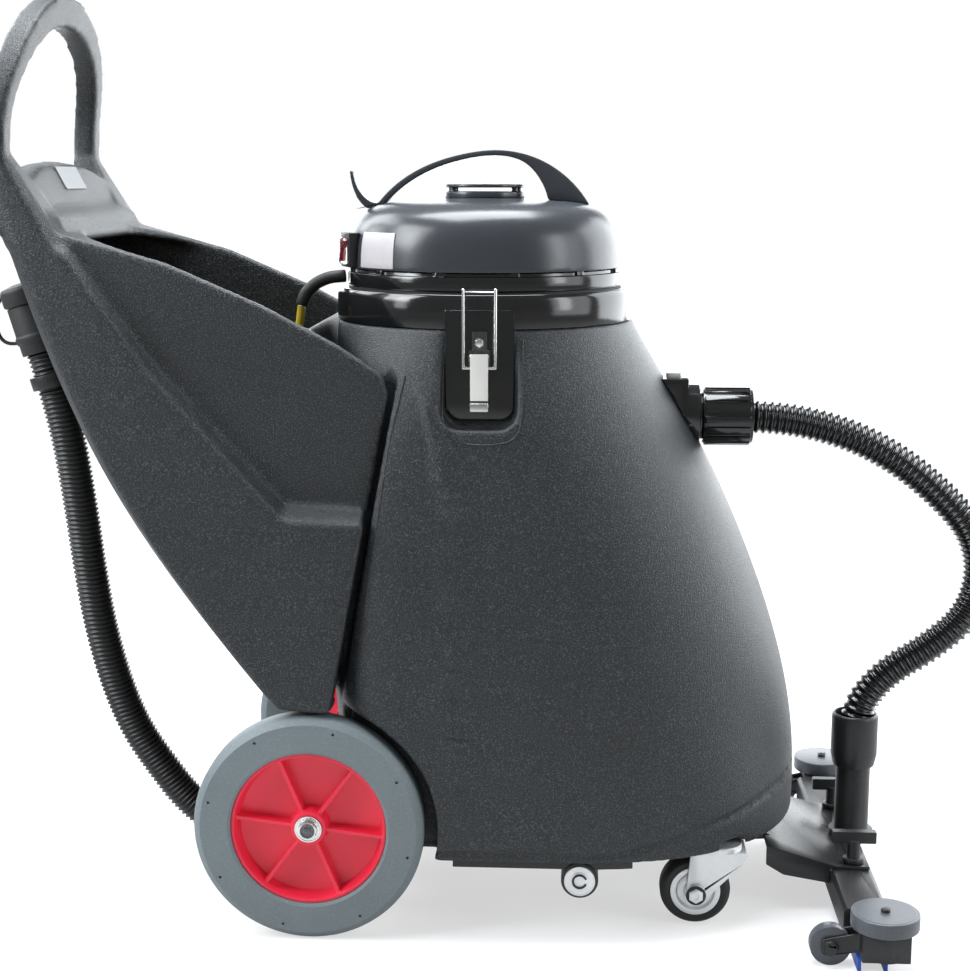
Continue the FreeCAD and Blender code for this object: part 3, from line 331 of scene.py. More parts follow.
hose_black = grained("hose_black", colour=(0.006, 0.0062, 0.0066), fleck=(0.02, 0.02, 0.021), flecks=0.3,
                     scale=220.0, height=0.1, roughness=0.17, spread=0.06, Specular_IOR_Level=0.6)
vacuum_route = [(0.300, 0, 0.5575), (0.348, 0, 0.5575), (0.404, 0, 0.5495), (0.458, 0, 0.532),
                (0.508, 0, 0.504), (0.553, 0, 0.467), (0.588, 0, 0.429), (0.603, 0, 0.378),
                (0.588, 0, 0.323), (0.545, 0, 0.285), (0.504, 0, 0.259), (0.4785, 0, 0.233),
                (0.4635, 0, 0.204), (0.4635, 0, 0.169)]
vacuum_rib_pitch = 0.0082
vacuum_ribs = (0.0160, 0.0161, 0.0176, 0.0189, 0.0192, 0.0186, 0.0170, 0.0161)
vacuum_line = smooth_line("vacuum_hose_line", vacuum_route)
vacuum_hose = hose_tube("corrugated_vacuum_hose", vacuum_line, step=vacuum_rib_pitch / len(vacuum_ribs),
                        radii=vacuum_ribs, sides=40)
vacuum_hose.data.materials.append(hose_black)
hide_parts("vacuum_hose")
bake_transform(vacuum_hose)

# ---------------------------------------------------------------- drain hose
# A black polyethylene drain hose with fine sharp ribs. It leaves the elbow under the tank, climbs
# behind the rear housing and ends in a cuff with a pull-off cap that a rubber strap keeps near.
drain_route = [(-0.120, -0.070, 0.066), (-0.162, -0.070, 0.066), (-0.205, -0.071, 0.062),
               (-0.249, -0.072, 0.065), (-0.290, -0.072, 0.079), (-0.325, -0.073, 0.108),
               (-0.353, -0.074, 0.147), (-0.381, -0.076, 0.191), (-0.402, -0.077, 0.245),
               (-0.418, -0.079, 0.311), (-0.428, -0.081, 0.384), (-0.4355, -0.085, 0.468),
               (-0.448, -0.090, 0.565), (-0.4685, -0.090, 0.636)]
drain_rib_pitch = 0.0054
drain_ribs = (0.0169, 0.0170, 0.0181, 0.0193, 0.0193, 0.0181)
drain_line = smooth_line("drain_hose_line", drain_route)
drain_black = grained("drain_black", colour=(0.009, 0.0092, 0.0095), fleck=(0.025, 0.025, 0.025),
                      flecks=0.3, scale=260.0, height=0.12, roughness=0.38)
drain_hose = hose_tube("corrugated_drain_hose", drain_line, step=drain_rib_pitch / len(drain_ribs),
                       radii=drain_ribs, sides=36)
drain_hose.data.materials.append(drain_black)
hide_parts("drain_hose")
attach(drain_hose, "cart")

# ---------------------------------------------------------------- power cord
# Ten metres of yellow rubber mains cord. It hangs from a black sleeve on the motor head into the
# cord bin, where it lies in a neat round coil with its plug on top.
cord_r = 0.0045
coil_centre = Vector((-0.250, 0.0))
coil_foot = 0.4743
coil_rings = 6
coil_layers = 5
points_per_turn = 16
ring_gap = 2 * cord_r + 0.0001
outer_ring = 0.0825
coil_top = coil_foot + cord_r + (coil_layers - 1) * ring_gap
cord_route = [(-0.1842, -0.040, 0.685), (-0.188, -0.040, 0.655), (-0.195, -0.041, 0.620),
              (-0.201, -0.0405, 0.592), (-0.204, -0.0393, 0.5726), (-0.204, -0.0393, 0.5566)]


def coil_point(ring_r, turn, height):
    """A control point of the coil; the curve runs inside its control points, so they stand out."""
    reach = ring_r / math.cos(math.pi / points_per_turn)
    return (coil_centre.x + reach * math.cos(turn), coil_centre.y + reach * math.sin(turn), height)


landing = ((-34.8, 0.0610, 0.0266), (-24.8, 0.0637, 0.0153), (-12.2, 0.0686, 0.0094),
           (1.0, 0.0735, 0.0092), (17.0, 0.0780, 0.0092), (34.0, 0.0809, 0.0092))
for angle, reach, rise in landing:
    cord_route.append(coil_point(reach, math.radians(angle), coil_top + rise))
turn_step = 2 * math.pi / points_per_turn
turn = math.radians(54.0)
drop_steps = 3
for k in range(1, drop_steps + 1):
    cord_route.append(coil_point(outer_ring, turn, coil_top + ring_gap * (1 - k / drop_steps)))
    turn += turn_step
steps_per_ring = (coil_layers - 1) * points_per_turn
change_steps = 5
for ring_index in range(coil_rings):
    ring_r = outer_ring - ring_index * ring_gap
    going_down = ring_index % 2 == 0
    for k in range(steps_per_ring + 1):
        share = k / steps_per_ring
        depth = share if going_down else 1 - share
        cord_route.append(coil_point(ring_r, turn, coil_top - depth * (coil_layers - 1) * ring_gap))
        turn += turn_step
    if ring_index < coil_rings - 1:
        for k in range(1, change_steps):
            level = coil_top if not going_down else coil_top - (coil_layers - 1) * ring_gap
            cord_route.append(coil_point(ring_r - ring_gap * k / change_steps, turn, level))
            turn += turn_step
spiral_steps = 10
spiral_climb_steps = 3
spiral_climb = 0.0094
spiral_spread = 0.0046
for k in range(spiral_steps):
    rise = min(1.0, (k + 1) / spiral_climb_steps)
    cord_route.append(coil_point(ring_r + spiral_spread * (k + 1), turn, coil_top + spiral_climb * rise))
    turn += turn_step
plug_low, plug_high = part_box("mains_plug")
tail_x = (plug_low.x + plug_high.x) / 2
tail_z = plug_high.z - 0.012
tail_straight = 0.006
tail_inside = 0.004
for across, along, rise in ((-0.047, -0.050, 0.0110), (-0.036, -0.078, 0.0140), (-0.012, -0.087, 0.0180),
                            (0.0, -0.070, 0.0210)):
    cord_route.append((tail_x + across, along, coil_top + rise))
cord_route.append((tail_x, plug_low.y - tail_straight, tail_z))
cord_route.append((tail_x, plug_low.y + tail_inside, tail_z))
cord_line = smooth_line("power_cord_line", cord_route)
cord_yellow = grained("cord_yellow", colour=(0.62, 0.46, 0.03), fleck=(0.70, 0.54, 0.06), flecks=0.25,
                      scale=300.0, height=0.15, roughness=0.42, spread=0.15)
power_cord = hose_tube("rubber_power_cord", cord_line, step=0.006, radii=(cord_r,), sides=10)
power_cord.data.materials.append(cord_yellow)
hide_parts("power_cord", "cord_coil")
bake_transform(power_cord)

# ---------------------------------------------------------------- tank and rear housing
# The two big mouldings are rotationally moulded black polyethylene: six millimetre walls, generous
# soft corners and a fine pebbled skin. The housing is screwed to bosses on the back of the tank.


def copy_of(node, name):
    """A merged copy of a CAD node that stands for it and rides on its body."""
    source = frame["nodes"][node]
    mesh = source.data.copy()
    mesh.name = name
    mesh.materials.clear()
    piece = bpy.data.objects.new(name, mesh)
    bpy.context.scene.collection.objects.link(piece)
    take_hold(piece)
    bpy.ops.mesh.customdata_custom_splitnormals_clear()
    bpy.ops.object.mode_set(mode="EDIT")
    bpy.ops.mesh.select_all(action="SELECT")
    bpy.ops.mesh.remove_doubles(threshold=0.00001)
    bpy.ops.object.mode_set(mode="OBJECT")
    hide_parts(node)
    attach(piece, source["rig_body"])
    return piece


def applied(piece, kind, **settings):
    """One modifier with its settings, added and applied."""
    take_hold(piece)
    modifier = piece.modifiers.new(kind.lower(), kind)
    for name, value in settings.items():
        setattr(modifier, name, value)
    bpy.ops.object.modifier_apply(modifier=modifier.name)


def remoulded(piece, voxel, passes, most):
    """Give a shell the soft rounded corners of a rotational moulding."""
    applied(piece, "REMESH", mode="VOXEL", voxel_size=voxel)
    applied(piece, "SMOOTH", factor=0.5, iterations=passes)
    triangles = 2 * len(piece.data.polygons)
    if triangles > most:
        applied(piece, "DECIMATE", ratio=most / triangles)
    take_hold(piece)
    bpy.ops.object.shade_smooth()


def finished(piece, material):
    """Give a piece its material."""
    piece.data.materials.append(material)
    return piece


pebbled_black = grained("pebbled_black", colour=(0.0070, 0.0095, 0.0115), fleck=(0.100, 0.114, 0.123),
                        flecks=0.75, scale=640.0, height=1.0, roughness=0.39, spread=0.14)
most_triangles = 190000
tank = copy_of("recovery_tank", "moulded_tank")
remoulded(tank, voxel=0.0034, passes=5, most=most_triangles)
groove_z = 0.1010
groove_half = 0.0048
groove_deep = 0.0030
groove_bend_x = 0.17
groove_rise = 0.012
groove_run = 0.05
for vertex in tank.data.vertices:
    off = abs(vertex.co.z - groove_z - groove_rise * max(vertex.co.x - groove_bend_x, 0) / groove_run)
    if off < groove_half and abs(vertex.normal.z) < 0.8:
        vertex.co -= vertex.normal * groove_deep * (1 - off / groove_half)
crease = ((-0.047, 0.617), (-0.036, 0.588), (-0.024, 0.539), (-0.016, 0.507), (-0.013, 0.472),
          (-0.010, 0.432), (-0.008, 0.350), (-0.006, 0.250), (-0.005, 0.110))
crease_step = 0.0042
crease_reach = 0.034
step_width = 0.004
crease_fade_top = 0.03
crease_fade_foot = 0.05


def line_x(points, z):
    """The x of a falling line of (x, z) points at a height."""
    for (high_x, high_z), (low_x, low_z) in zip(points, points[1:]):
        if low_z <= z <= high_z:
            return high_x + (low_x - high_x) * (high_z - z) / (high_z - low_z)
    return None


for vertex in tank.data.vertices:
    ridge_x = line_x(crease, vertex.co.z)
    if ridge_x is None or abs(vertex.normal.y) < 0.6:
        continue
    ahead = vertex.co.x - ridge_x
    ends = min(1.0, (crease[0][1] - vertex.co.z) / crease_fade_top,
               (vertex.co.z - crease[-1][1]) / crease_fade_foot)
    if 0 < ahead < crease_reach:
        start = min(ahead / step_width, 1.0)
        vertex.co += vertex.normal * crease_step * ends * start * (1 - ahead / crease_reach)
finished(tank, pebbled_black)
housing = copy_of("rear_housing", "moulded_rear_housing")
remoulded(housing, voxel=0.0036, passes=10, most=most_triangles)
finished(housing, pebbled_black)
# The faces inside the cord bin take a darker, rougher black: painted shade for the deep bin, which is one
# moulding with the rest of the housing.
bin_painted_shade = grained("bin_painted_shade", colour=(0.0030, 0.0032, 0.0034), fleck=(0.010, 0.010, 0.010),
                      flecks=0.2, scale=640.0, height=0.5, roughness=0.75)
housing.data.materials.append(bin_painted_shade)
bin_middle = Vector((-0.300, 0, 0.600))
bin_half = 0.150
bin_facing = 0.02
bin_rim_z = 0.78
bin_rim_fall = 0.9
bin_rim_x = -0.35
# Faces that look towards the bin's middle and lie below its sloping rim get the painted shade material.
for face in housing.data.polygons:
    into = bin_middle - face.center
    rim_z = bin_rim_z - bin_rim_fall * max(0, bin_rim_x - face.center.x)
    if face.normal.dot(into) > bin_facing and abs(face.center.y) < bin_half and face.center.z < rim_z:
        face.material_index = 1


def surface_bead(name, points, side, radius):
    """A fine raised edge on one side of the tank, through (x, z) points dropped on to its skin."""
    found = []
    for x, z in points:
        hit, place = tank.ray_cast((x, side * 0.5, z), (0, -side, 0))[:2]
        if hit:
            found.append((x, place.y, z))
    line = smooth_line(name + "_line", found)
    bead = hose_tube(name, line, step=0.004, radii=(radius,), sides=8)
    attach(bead, "cart")
    return finished(bead, pebbled_black)


seam_edge = ((-0.0535, 0.621), (-0.059, 0.595), (-0.0655, 0.570), (-0.076, 0.507),
             (-0.087, 0.430), (-0.101, 0.330), (-0.115, 0.230))
recess_edge = ((-0.0095, 0.660), (-0.0120, 0.640), (-0.0135, 0.615), (-0.0140, 0.590), (-0.0115, 0.569),
               (-0.0040, 0.557), (0.0080, 0.5515), (0.0300, 0.5495), (0.0530, 0.5515), (0.0650, 0.557),
               (0.0710, 0.569), (0.0720, 0.594), (0.0715, 0.634), (0.0715, 0.660))
for side, sign in (("left", 1), ("right", -1)):
    surface_bead("tank_seam_edge_" + side, seam_edge, sign, 0.0014)
    surface_bead("latch_recess_edge_" + side, recess_edge, sign, 0.0010)

# ---------------------------------------------------------------- tank collar and head ring
# Glossy black injection mouldings: the collar is pressed over the tank's neck and has a flat tongue
# behind each latch. The ring carries the motor head and sits on the collar's rubber gasket.


def softened(piece, width, corner=28.0, rounds=2, smooth=32.0):
    """Round a copy's sharp edges by a small width, and shade it smooth between them."""
    applied(piece, "BEVEL", width=width, segments=rounds, limit_method="ANGLE",
            angle_limit=math.radians(corner), use_clamp_overlap=False, harden_normals=False)
    take_hold(piece)
    bpy.ops.object.shade_smooth_by_angle(angle=math.radians(smooth))
    return piece


gloss_black = grained("gloss_black", colour=(0.0075, 0.0080, 0.0084), fleck=(0.03, 0.03, 0.03), flecks=0.15,
                      scale=500.0, height=0.05, roughness=0.13, spread=0.10, Specular_IOR_Level=0.6)
for node, name, width in (("tank_collar", "collar_with_tongues", 0.0012),
                          ("head_ring", "motor_head_ring", 0.0010)):
    finished(softened(copy_of(node, name), width), gloss_black)
soft_rubber = grained("soft_rubber", colour=(0.013, 0.013, 0.0135), fleck=(0.035, 0.035, 0.035), flecks=0.3,
                      scale=500.0, height=0.2, roughness=0.6)
frame["nodes"]["head_gasket"].data.materials.clear()
frame["nodes"]["head_gasket"].data.materials.append(soft_rubber)

# ---------------------------------------------------------------- dome, vent cap and carry handle
# The motor cover is a satin dark grey moulding clipped to the ring by tabs. Its round vent cap lets
# the exhaust air out under its rim, and the strap handle is moulded with a curled tail.
satin_grey = grained("satin_grey", colour=(0.036, 0.040, 0.047), fleck=(0.060, 0.065, 0.073), flecks=0.3,
                     scale=900.0, height=0.06, roughness=0.25, spread=0.10)
for node, name, width in (("dome_cover", "motor_dome", 0.0008), ("vent_cap", "exhaust_vent_cap", 0.0014),
                          ("carry_handle", "strap_carry_handle", 0.0022)):
    finished(softened(copy_of(node, name), width), satin_grey)

# ---------------------------------------------------------------- switch, label and cord sleeve
# A black switch well with a dark red rocker under a clear splash cover, a blank rating label on the
# dome's near side, and the ribbed rubber sleeve that guards the cord where it leaves the head.
plain_black = grained("plain_black", colour=(0.012, 0.0123, 0.0127), fleck=(0.04, 0.04, 0.04), flecks=0.35,
                      scale=600.0, height=0.22, roughness=0.40)
label_white = grained("label_white", colour=(0.46, 0.44, 0.455), fleck=(0.36, 0.34, 0.36), flecks=0.3,
                      scale=200.0, height=0.05, roughness=0.40)
rocker_red = grained("rocker_red", colour=(0.20, 0.010, 0.012), fleck=(0.24, 0.02, 0.02), flecks=0.2,
                     scale=300.0, height=0.05, roughness=0.18)
finished(softened(copy_of("switch_box", "switch_well"), 0.0012), plain_black)
finished(softened(copy_of("rocker_switch", "switch_rocker"), 0.0006), rocker_red)
finished(softened(copy_of("rating_label", "blank_rating_label"), 0.0002), label_white)
finished(softened(copy_of("cord_sleeve", "cord_strain_sleeve"), 0.0008), soft_rubber)
finished(softened(copy_of("mains_plug", "mains_plug_body"), 0.0010), soft_rubber)

# ---------------------------------------------------------------- latches
# Two over-centre latches: a dark steel bracket, a pressed steel lever and a bright bent wire bail
# that hooks over the head's ring.
bright_steel = grained("bright_steel", colour=(0.70, 0.70, 0.69), fleck=(0.50, 0.50, 0.50), flecks=0.35,
                       scale=260.0, height=0.12, roughness=0.22, spread=0.15, Metallic=1.0)
brushed_steel = grained("brushed_steel", colour=(0.90, 0.89, 0.85), fleck=(0.80, 0.80, 0.77), flecks=0.3,
                        scale=700.0, height=0.10, roughness=0.38, spread=0.15, Metallic=0.5)
dark_steel = grained("dark_steel", colour=(0.11, 0.11, 0.11), fleck=(0.34, 0.34, 0.34), flecks=0.5,
                     scale=700.0, height=0.2, roughness=0.36, spread=0.2, Metallic=1.0)
finished(softened(copy_of("latch_plates", "latch_brackets"), 0.0005), dark_steel)
for side in ("left", "right"):
    finished(softened(copy_of("latch_lever_" + side, "pressed_latch_lever_" + side), 0.0007), brushed_steel)
    finished(softened(copy_of("latch_bail_" + side, "bent_wire_bail_" + side), 0.0002,
                      corner=60.0, rounds=1, smooth=60.0), bright_steel)

# ---------------------------------------------------------------- rear wheels and axle
# Ten inch wheels: solid grey rubber tyres with eight dimples in each wall, on red moulded hubs with
# ribs. They turn on a bright axle and are held by nuts.
tyre_grey = grained("tyre_grey", colour=(0.155, 0.190, 0.205), fleck=(0.30, 0.33, 0.35), flecks=0.3,
                    scale=420.0, height=0.22, roughness=0.52, spread=0.15)
hub_red = grained("hub_red", colour=(0.78, 0.022, 0.058), fleck=(0.66, 0.06, 0.09), flecks=0.25,
                  scale=320.0, height=0.10, roughness=0.36, spread=0.12)
for side in ("left", "right"):
    tyre = copy_of("rear_tyre_" + side, "solid_tyre_" + side)
    bpy.ops.object.shade_smooth_by_angle(angle=math.radians(30))
    finished(tyre, tyre_grey)
    finished(softened(copy_of("rear_hub_" + side, "ribbed_hub_" + side), 0.0009), hub_red)
finished(softened(copy_of("rear_axle", "rear_axle_bar"), 0.0010), bright_steel)

# ---------------------------------------------------------------- casters
# Zinc plated pressed forks on ball races, with black tyred wheels on plated rims.
zinc_plate = grained("zinc_plate", colour=(0.76, 0.77, 0.78), fleck=(0.66, 0.67, 0.68), flecks=0.4,
                     scale=400.0, height=0.12, roughness=0.36, spread=0.2, Metallic=0.6)
for side in ("left", "right"):
    finished(softened(copy_of("caster_fork_" + side, "plated_caster_fork_" + side), 0.0008), zinc_plate)
    finished(softened(copy_of("caster_rim_" + side, "plated_caster_rim_" + side), 0.0006), zinc_plate)
    finished(softened(copy_of("caster_tyre_" + side, "caster_tread_" + side), 0.0012), soft_rubber)

# ---------------------------------------------------------------- chassis
# A black powder coated steel plate in the recess under the tank, with folded rails and lugs for the
# axle and for the squeegee's pivot bolt.
powder_black = grained("powder_black", colour=(0.014, 0.0145, 0.015), fleck=(0.05, 0.05, 0.05), flecks=0.5,
                       scale=700.0, height=0.3, roughness=0.42)
finished(softened(copy_of("base_frame", "powder_coated_chassis"), 0.0008), powder_black)
finished(softened(copy_of("pivot_bolt", "squeegee_pivot_bolt"), 0.0010), bright_steel)

# ---------------------------------------------------------------- squeegee
# A black channel between two end blocks holds two blue rubber blades. It hangs on a sheet steel
# yoke by two knobs, and is guarded by grey bumper wheels and small side wheels.
blade_blue = grained("blade_blue", colour=(0.018, 0.085, 0.42), fleck=(0.04, 0.13, 0.50), flecks=0.3,
                     scale=300.0, height=0.12, roughness=0.38)
bumper_grey = grained("bumper_grey", colour=(0.066, 0.073, 0.085), fleck=(0.12, 0.13, 0.14), flecks=0.3,
                      scale=420.0, height=0.12, roughness=0.33)
satin_black = grained("satin_black", colour=(0.015, 0.0155, 0.0165), fleck=(0.05, 0.05, 0.05), flecks=0.4,
                      scale=700.0, height=0.12, roughness=0.27)
finished(softened(copy_of("squeegee_yoke", "pressed_squeegee_yoke"), 0.0010), satin_black)
for node, name, width in (("squeegee_beam", "squeegee_channel", 0.0010),
                          ("beam_ends", "squeegee_end_blocks", 0.0018),
                          ("suction_pipe", "squeegee_suction_pipe", 0.0010),
                          ("hose_cuff", "squeegee_hose_cuff", 0.0012),
                          ("knob_left", "squeegee_knob_left", 0.0012),
                          ("knob_right", "squeegee_knob_right", 0.0012)):
    finished(softened(copy_of(node, name), width), plain_black)
finished(softened(copy_of("squeegee_blades", "squeegee_blade_pair"), 0.0004), blade_blue)
for side in ("left", "right"):
    disc_low, disc_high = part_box("bumper_wheel_" + side)
    disc_middle = (disc_low + disc_high) / 2
    bpy.ops.object.select_all(action="DESELECT")
    bpy.ops.mesh.primitive_cylinder_add(vertices=72, radius=(disc_high.x - disc_low.x) / 2,
                                        location=disc_middle, depth=disc_high.z - disc_low.z)
    disc = bpy.context.object
    disc.name = "corner_bumper_" + side
    bpy.ops.object.transform_apply(location=True, rotation=True, scale=True)
    for face in disc.data.polygons:
        face.select = face.normal.z > 0.9
    bpy.ops.object.mode_set(mode="EDIT")
    bpy.ops.mesh.select_mode(type="FACE")
    bpy.ops.transform.resize(value=(0.985, 0.985, 1))
    bpy.ops.mesh.inset(thickness=0.0030, depth=-0.0004)
    bpy.ops.mesh.inset(thickness=0.0010, depth=0.0004)
    bpy.ops.object.mode_set(mode="OBJECT")
    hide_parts("bumper_wheel_" + side)
    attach(disc, "bumper_" + side)
    finished(softened(disc, 0.0012, corner=25.0, rounds=3, smooth=35.0), bumper_grey)
    finished(softened(copy_of("side_wheel_" + side, "squeegee_side_wheel_" + side), 0.0012), bumper_grey)

# ---------------------------------------------------------------- hose fittings
# Black moulded fittings: the inlet pad and ribbed nut on the tank's nose, the drain elbow under the
# tank, and the clip, rubber cuff and rubber cap at the free end of the drain hose.
for node, name, width in (("inlet_adapter", "inlet_pad", 0.0014), ("inlet_nut", "ribbed_inlet_nut", 0.0010)):
    finished(softened(copy_of(node, name), width), gloss_black)
for node, name in (("drain_elbow", "drain_hose_elbow"), ("hose_clip", "drain_hose_clip")):
    finished(softened(copy_of(node, name), 0.0010), plain_black)
for node, name in (("drain_cuff", "drain_hose_cuff"), ("drain_cap", "drain_hose_cap")):
    finished(softened(copy_of(node, name), 0.0012), soft_rubber)

# ---------------------------------------------------------------- badge and inner pieces
# A blank satin badge on the hump, and what the shell hides: the vacuum motor and its fan, the float
# cage with its ball and the felt filter sleeve.
filter_felt = grained("filter_felt", colour=(0.62, 0.63, 0.60), fleck=(0.72, 0.72, 0.70), flecks=0.6,
                      scale=900.0, height=0.6, roughness=0.9)
float_white = grained("float_white", colour=(0.76, 0.77, 0.74), fleck=(0.70, 0.70, 0.68), flecks=0.2,
                      scale=300.0, height=0.08, roughness=0.35)
badge_silver = grained("badge_silver", colour=(0.24, 0.25, 0.26), fleck=(0.16, 0.17, 0.18), flecks=0.3,
                       scale=300.0, height=0.08, roughness=0.55)
for node, material in (("housing_plate", badge_silver), ("motor", brushed_steel),
                       ("fan_wheel", brushed_steel), ("filter_cage", plain_black),
                       ("filter_sleeve", filter_felt), ("float_ball", float_white)):
    frame["nodes"][node].data.materials.clear()
    frame["nodes"][node].data.materials.append(material)

# ---------------------------------------------------------------- washers, nuts and clips
# Bought-in steel hardware: dished washers and end clips on the axle, the boss, dish and snap ring at
# each end of the squeegee's pivot bolt, and washers and nuts on the casters and the side wheels.


def small_turning(name, body, centre, radius, height, sides, steps, edge):
    """A part turned about a cross-machine line; each step insets its outer face and moves it."""
    bpy.ops.object.select_all(action="DESELECT")
    bpy.ops.mesh.primitive_cylinder_add(vertices=sides, radius=radius, depth=height, location=centre,
                                        rotation=(math.pi / 2, 0, 0))
    piece = bpy.context.object
    piece.name = name
    bpy.ops.object.transform_apply(location=True, rotation=True, scale=True)
    outward = math.copysign(1.0, centre[1])
    for face in piece.data.polygons:
        face.select = face.normal.y * outward > 0.9
    bpy.ops.object.mode_set(mode="EDIT")
    bpy.ops.mesh.select_mode(type="FACE")
    for inset, rise in steps:
        bpy.ops.mesh.inset(thickness=inset, depth=0.0)
        bpy.ops.mesh.extrude_region_move(TRANSFORM_OT_translate={"value": (0, outward * rise, 0)})
    bpy.ops.object.mode_set(mode="OBJECT")
    softened(piece, edge, corner=25.0, rounds=2, smooth=40.0)
    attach(piece, body)
    return piece


axle_x = -0.159
axle_z = 0.127
pivot_x = 0.138
pivot_z = 0.068
pivot_face = 0.199
for side, sign in (("left", 1), ("right", -1)):
    washer = small_turning("axle_washer_" + side, "cart", (axle_x, sign * 0.2136, axle_z), radius=0.0150,
                           height=0.0020, sides=40, steps=((0.0016, -0.0006), (0.0022, 0.0008)), edge=0.0003)
    finished(washer, bright_steel)
    clip = small_turning("axle_end_clip_" + side, "cart", (axle_x, sign * 0.2203, axle_z), radius=0.0082,
                         height=0.0014, sides=40, steps=((0.0018, -0.0006), (0.0020, 0.0004)), edge=0.0002)
    finished(clip, dark_steel)
    boss = small_turning("pivot_boss_" + side, "cart", (pivot_x, sign * (pivot_face - 0.0155), pivot_z),
                         radius=0.0205, height=0.0290, sides=48, steps=(), edge=0.0015)
    finished(boss, plain_black)
    dish = small_turning("pivot_bolt_dish_" + side, "cart", (pivot_x, sign * pivot_face, pivot_z),
                         radius=0.0170, height=0.0024, sides=48,
                         steps=((0.0012, -0.0005), (0.0055, 0.0006)), edge=0.0003)
    finished(dish, zinc_plate)
    bpy.ops.object.select_all(action="DESELECT")
    bpy.ops.mesh.primitive_torus_add(major_segments=48, minor_segments=12,
                                     major_radius=0.0074, minor_radius=0.0012,
                                     location=(pivot_x, sign * (pivot_face + 0.0020), pivot_z),
                                     rotation=(math.pi / 2, 0, 0))
    ring = bpy.context.object
    ring.name = "pivot_snap_ring_" + side
    bpy.ops.object.transform_apply(location=True, rotation=True, scale=True)
    for face in ring.data.polygons:
        face.select = face.center.x > pivot_x and abs(face.center.z - pivot_z) < 0.0030
    bpy.ops.object.mode_set(mode="EDIT")
    bpy.ops.mesh.select_mode(type="FACE")
    bpy.ops.mesh.delete(type="FACE")
    bpy.ops.mesh.select_all(action="SELECT")
    bpy.ops.mesh.fill_holes(sides=0)
    bpy.ops.object.mode_set(mode="OBJECT")
    bpy.ops.object.shade_smooth_by_angle(angle=math.radians(40))
    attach(ring, "cart")
    finished(ring, plain_black)
    for name, body, place, scale in (("caster_axle", "caster_" + side, (0.268, 0.1650, 0.0395), 1.0),
                                     ("side_wheel_axle", "squeegee", (0.406, 0.2490, 0.0220), 0.85)):
        place = (place[0], sign * place[1], place[2])
        washer = small_turning(name + "_washer_" + side, body, place, radius=0.0112 * scale, height=0.0012,
                               sides=40, steps=((0.0012, 0.0003),), edge=0.0002)
        finished(washer, plain_black)
        place = (place[0], place[1] + sign * 0.0012, place[2])
        nut = small_turning(name + "_nut_" + side, body, place, radius=0.0086 * scale, height=0.0026,
                            sides=6, steps=((0.0014 * scale, 0.0010), (0.0026 * scale, -0.0012)),
                            edge=0.0003)
        finished(nut, zinc_plate)

# ---------------------------------------------------------------- latch edges
# Each pressed lever is curled round its hinge at the top and has a narrow slot above its bright
# foot; the slot is drawn as a thin black strip of painted shade. A hexagon screw holds its bracket.


def small_block(name, body, centre, size, edge, rounds=3):
    """A small moulded or pressed block with rounded edges."""
    bpy.ops.object.select_all(action="DESELECT")
    bpy.ops.mesh.primitive_cube_add(size=1.0, location=centre, scale=size)
    piece = bpy.context.object
    piece.name = name
    bpy.ops.object.transform_apply(location=True, rotation=True, scale=True)
    softened(piece, edge, corner=30.0, rounds=rounds, smooth=60.0)
    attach(piece, body)
    return piece


latch_x = 0.026
for side, sign in (("left", 1), ("right", -1)):
    lever = "latch_lever_" + side
    # A thin black strip stands for the slot: painted shade of the opening, set proud of the lever's face.
    slot_shade_strip = small_block("lever_slot_shade_" + side, lever, (latch_x, sign * 0.1800, 0.5945),
                            size=(0.0190, 0.0008, 0.0022), edge=0.0002, rounds=1)
    finished(slot_shade_strip, plain_black)
    foot = small_block("lever_foot_" + side, lever, (latch_x, sign * 0.1802, 0.5885),
                       size=(0.0194, 0.0012, 0.0086), edge=0.0005, rounds=2)
    finished(foot, bright_steel)
    bpy.ops.object.select_all(action="DESELECT")
    bpy.ops.mesh.primitive_cylinder_add(vertices=32, radius=0.0034, depth=0.0200,
                                        location=(latch_x, sign * 0.1765, 0.6420),
                                        rotation=(0, math.pi / 2, 0))
    barrel = bpy.context.object
    barrel.name = "lever_hinge_barrel_" + side
    bpy.ops.object.transform_apply(location=True, rotation=True, scale=True)
    softened(barrel, 0.0008, corner=30.0, rounds=3, smooth=40.0)
    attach(barrel, lever)
    finished(barrel, bright_steel)
    screw = small_turning("bracket_screw_" + side, "cart", (latch_x, sign * 0.1744, 0.657), radius=0.0052,
                          height=0.0020, sides=6, steps=((0.0012, 0.0008),), edge=0.0003)
    finished(screw, bright_steel)

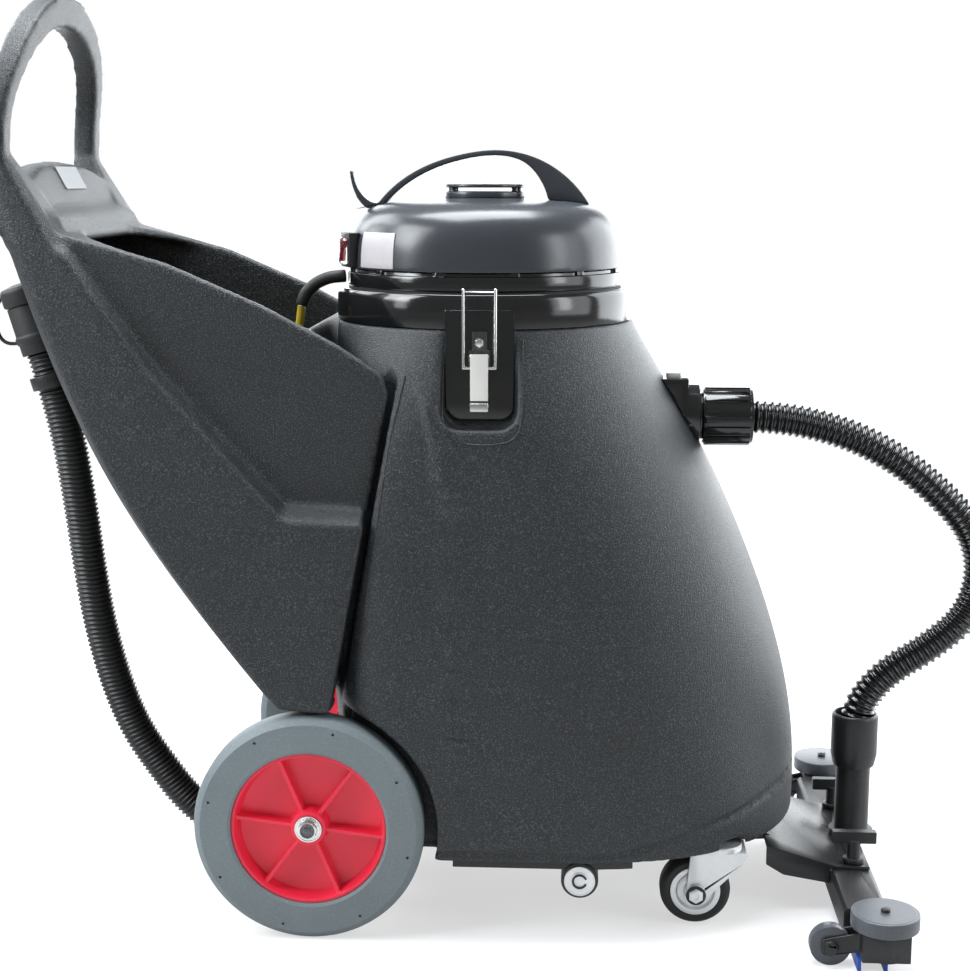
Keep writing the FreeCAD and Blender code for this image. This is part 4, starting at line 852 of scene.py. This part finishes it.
# ---------------------------------------------------------------- switch cover
# A clear soft block of a splash cover over the rocker. It faces along the switch well, which is
# turned a little way round the head from the rear.
clear_cover, clear_tree, clear_shader = new_material("clear_cover")
clear_shader.inputs["Base Color"].default_value = (0.92, 0.95, 0.96, 1)
clear_shader.inputs["Transmission Weight"].default_value = 1.0
clear_shader.inputs["Roughness"].default_value = 0.08
clear_shader.inputs["IOR"].default_value = 1.35
ripple = add_node(clear_tree, "ShaderNodeTexNoise", Scale=90.0, Detail=1.0)
clear_tree.links.new(clear_tree.nodes.new("ShaderNodeTexCoord").outputs["Object"], ripple.inputs["Vector"])
dent = add_node(clear_tree, "ShaderNodeBump", Strength=0.15, Distance=0.001)
clear_tree.links.new(ripple.outputs["Fac"], dent.inputs["Height"])
clear_tree.links.new(dent.outputs["Normal"], clear_shader.inputs["Normal"])
switch_turn = math.radians(21.0)
neck_x = 0.022
cover = small_block("clear_switch_cover", "head", (-0.1455, 0, 0.748), size=(0.0050, 0.0300, 0.0300),
                    edge=0.0022)
for vertex in cover.data.vertices:
    x, y = vertex.co.x, vertex.co.y
    vertex.co.x = (neck_x + x * math.cos(switch_turn) - y * math.sin(switch_turn)
                   - neck_x * math.cos(switch_turn))
    vertex.co.y = (x - neck_x) * math.sin(switch_turn) + y * math.cos(switch_turn)
finished(cover, clear_cover)

# ---------------------------------------------------------------- small fittings
# A small plated check fitting on the inlet pad, and the rubber strap that ties the drain cap to its
# cuff.
fitting = small_block("inlet_check_fitting", "cart", (0.2400, -0.012, 0.6060),
                      size=(0.0180, 0.0220, 0.0100), edge=0.0030)
finished(fitting, zinc_plate)
strap_points = [(-0.494, -0.090, 0.646), (-0.505, -0.091, 0.643), (-0.517, -0.092, 0.650),
                (-0.521, -0.092, 0.668), (-0.519, -0.091, 0.688), (-0.512, -0.090, 0.698),
                (-0.503, -0.090, 0.700)]
strap_line = smooth_line("cap_strap_line", strap_points)
strap = hose_tube("drain_cap_strap", strap_line, step=0.003, radii=(0.0021,), sides=12)
strap.data.materials.append(soft_rubber)
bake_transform(strap)
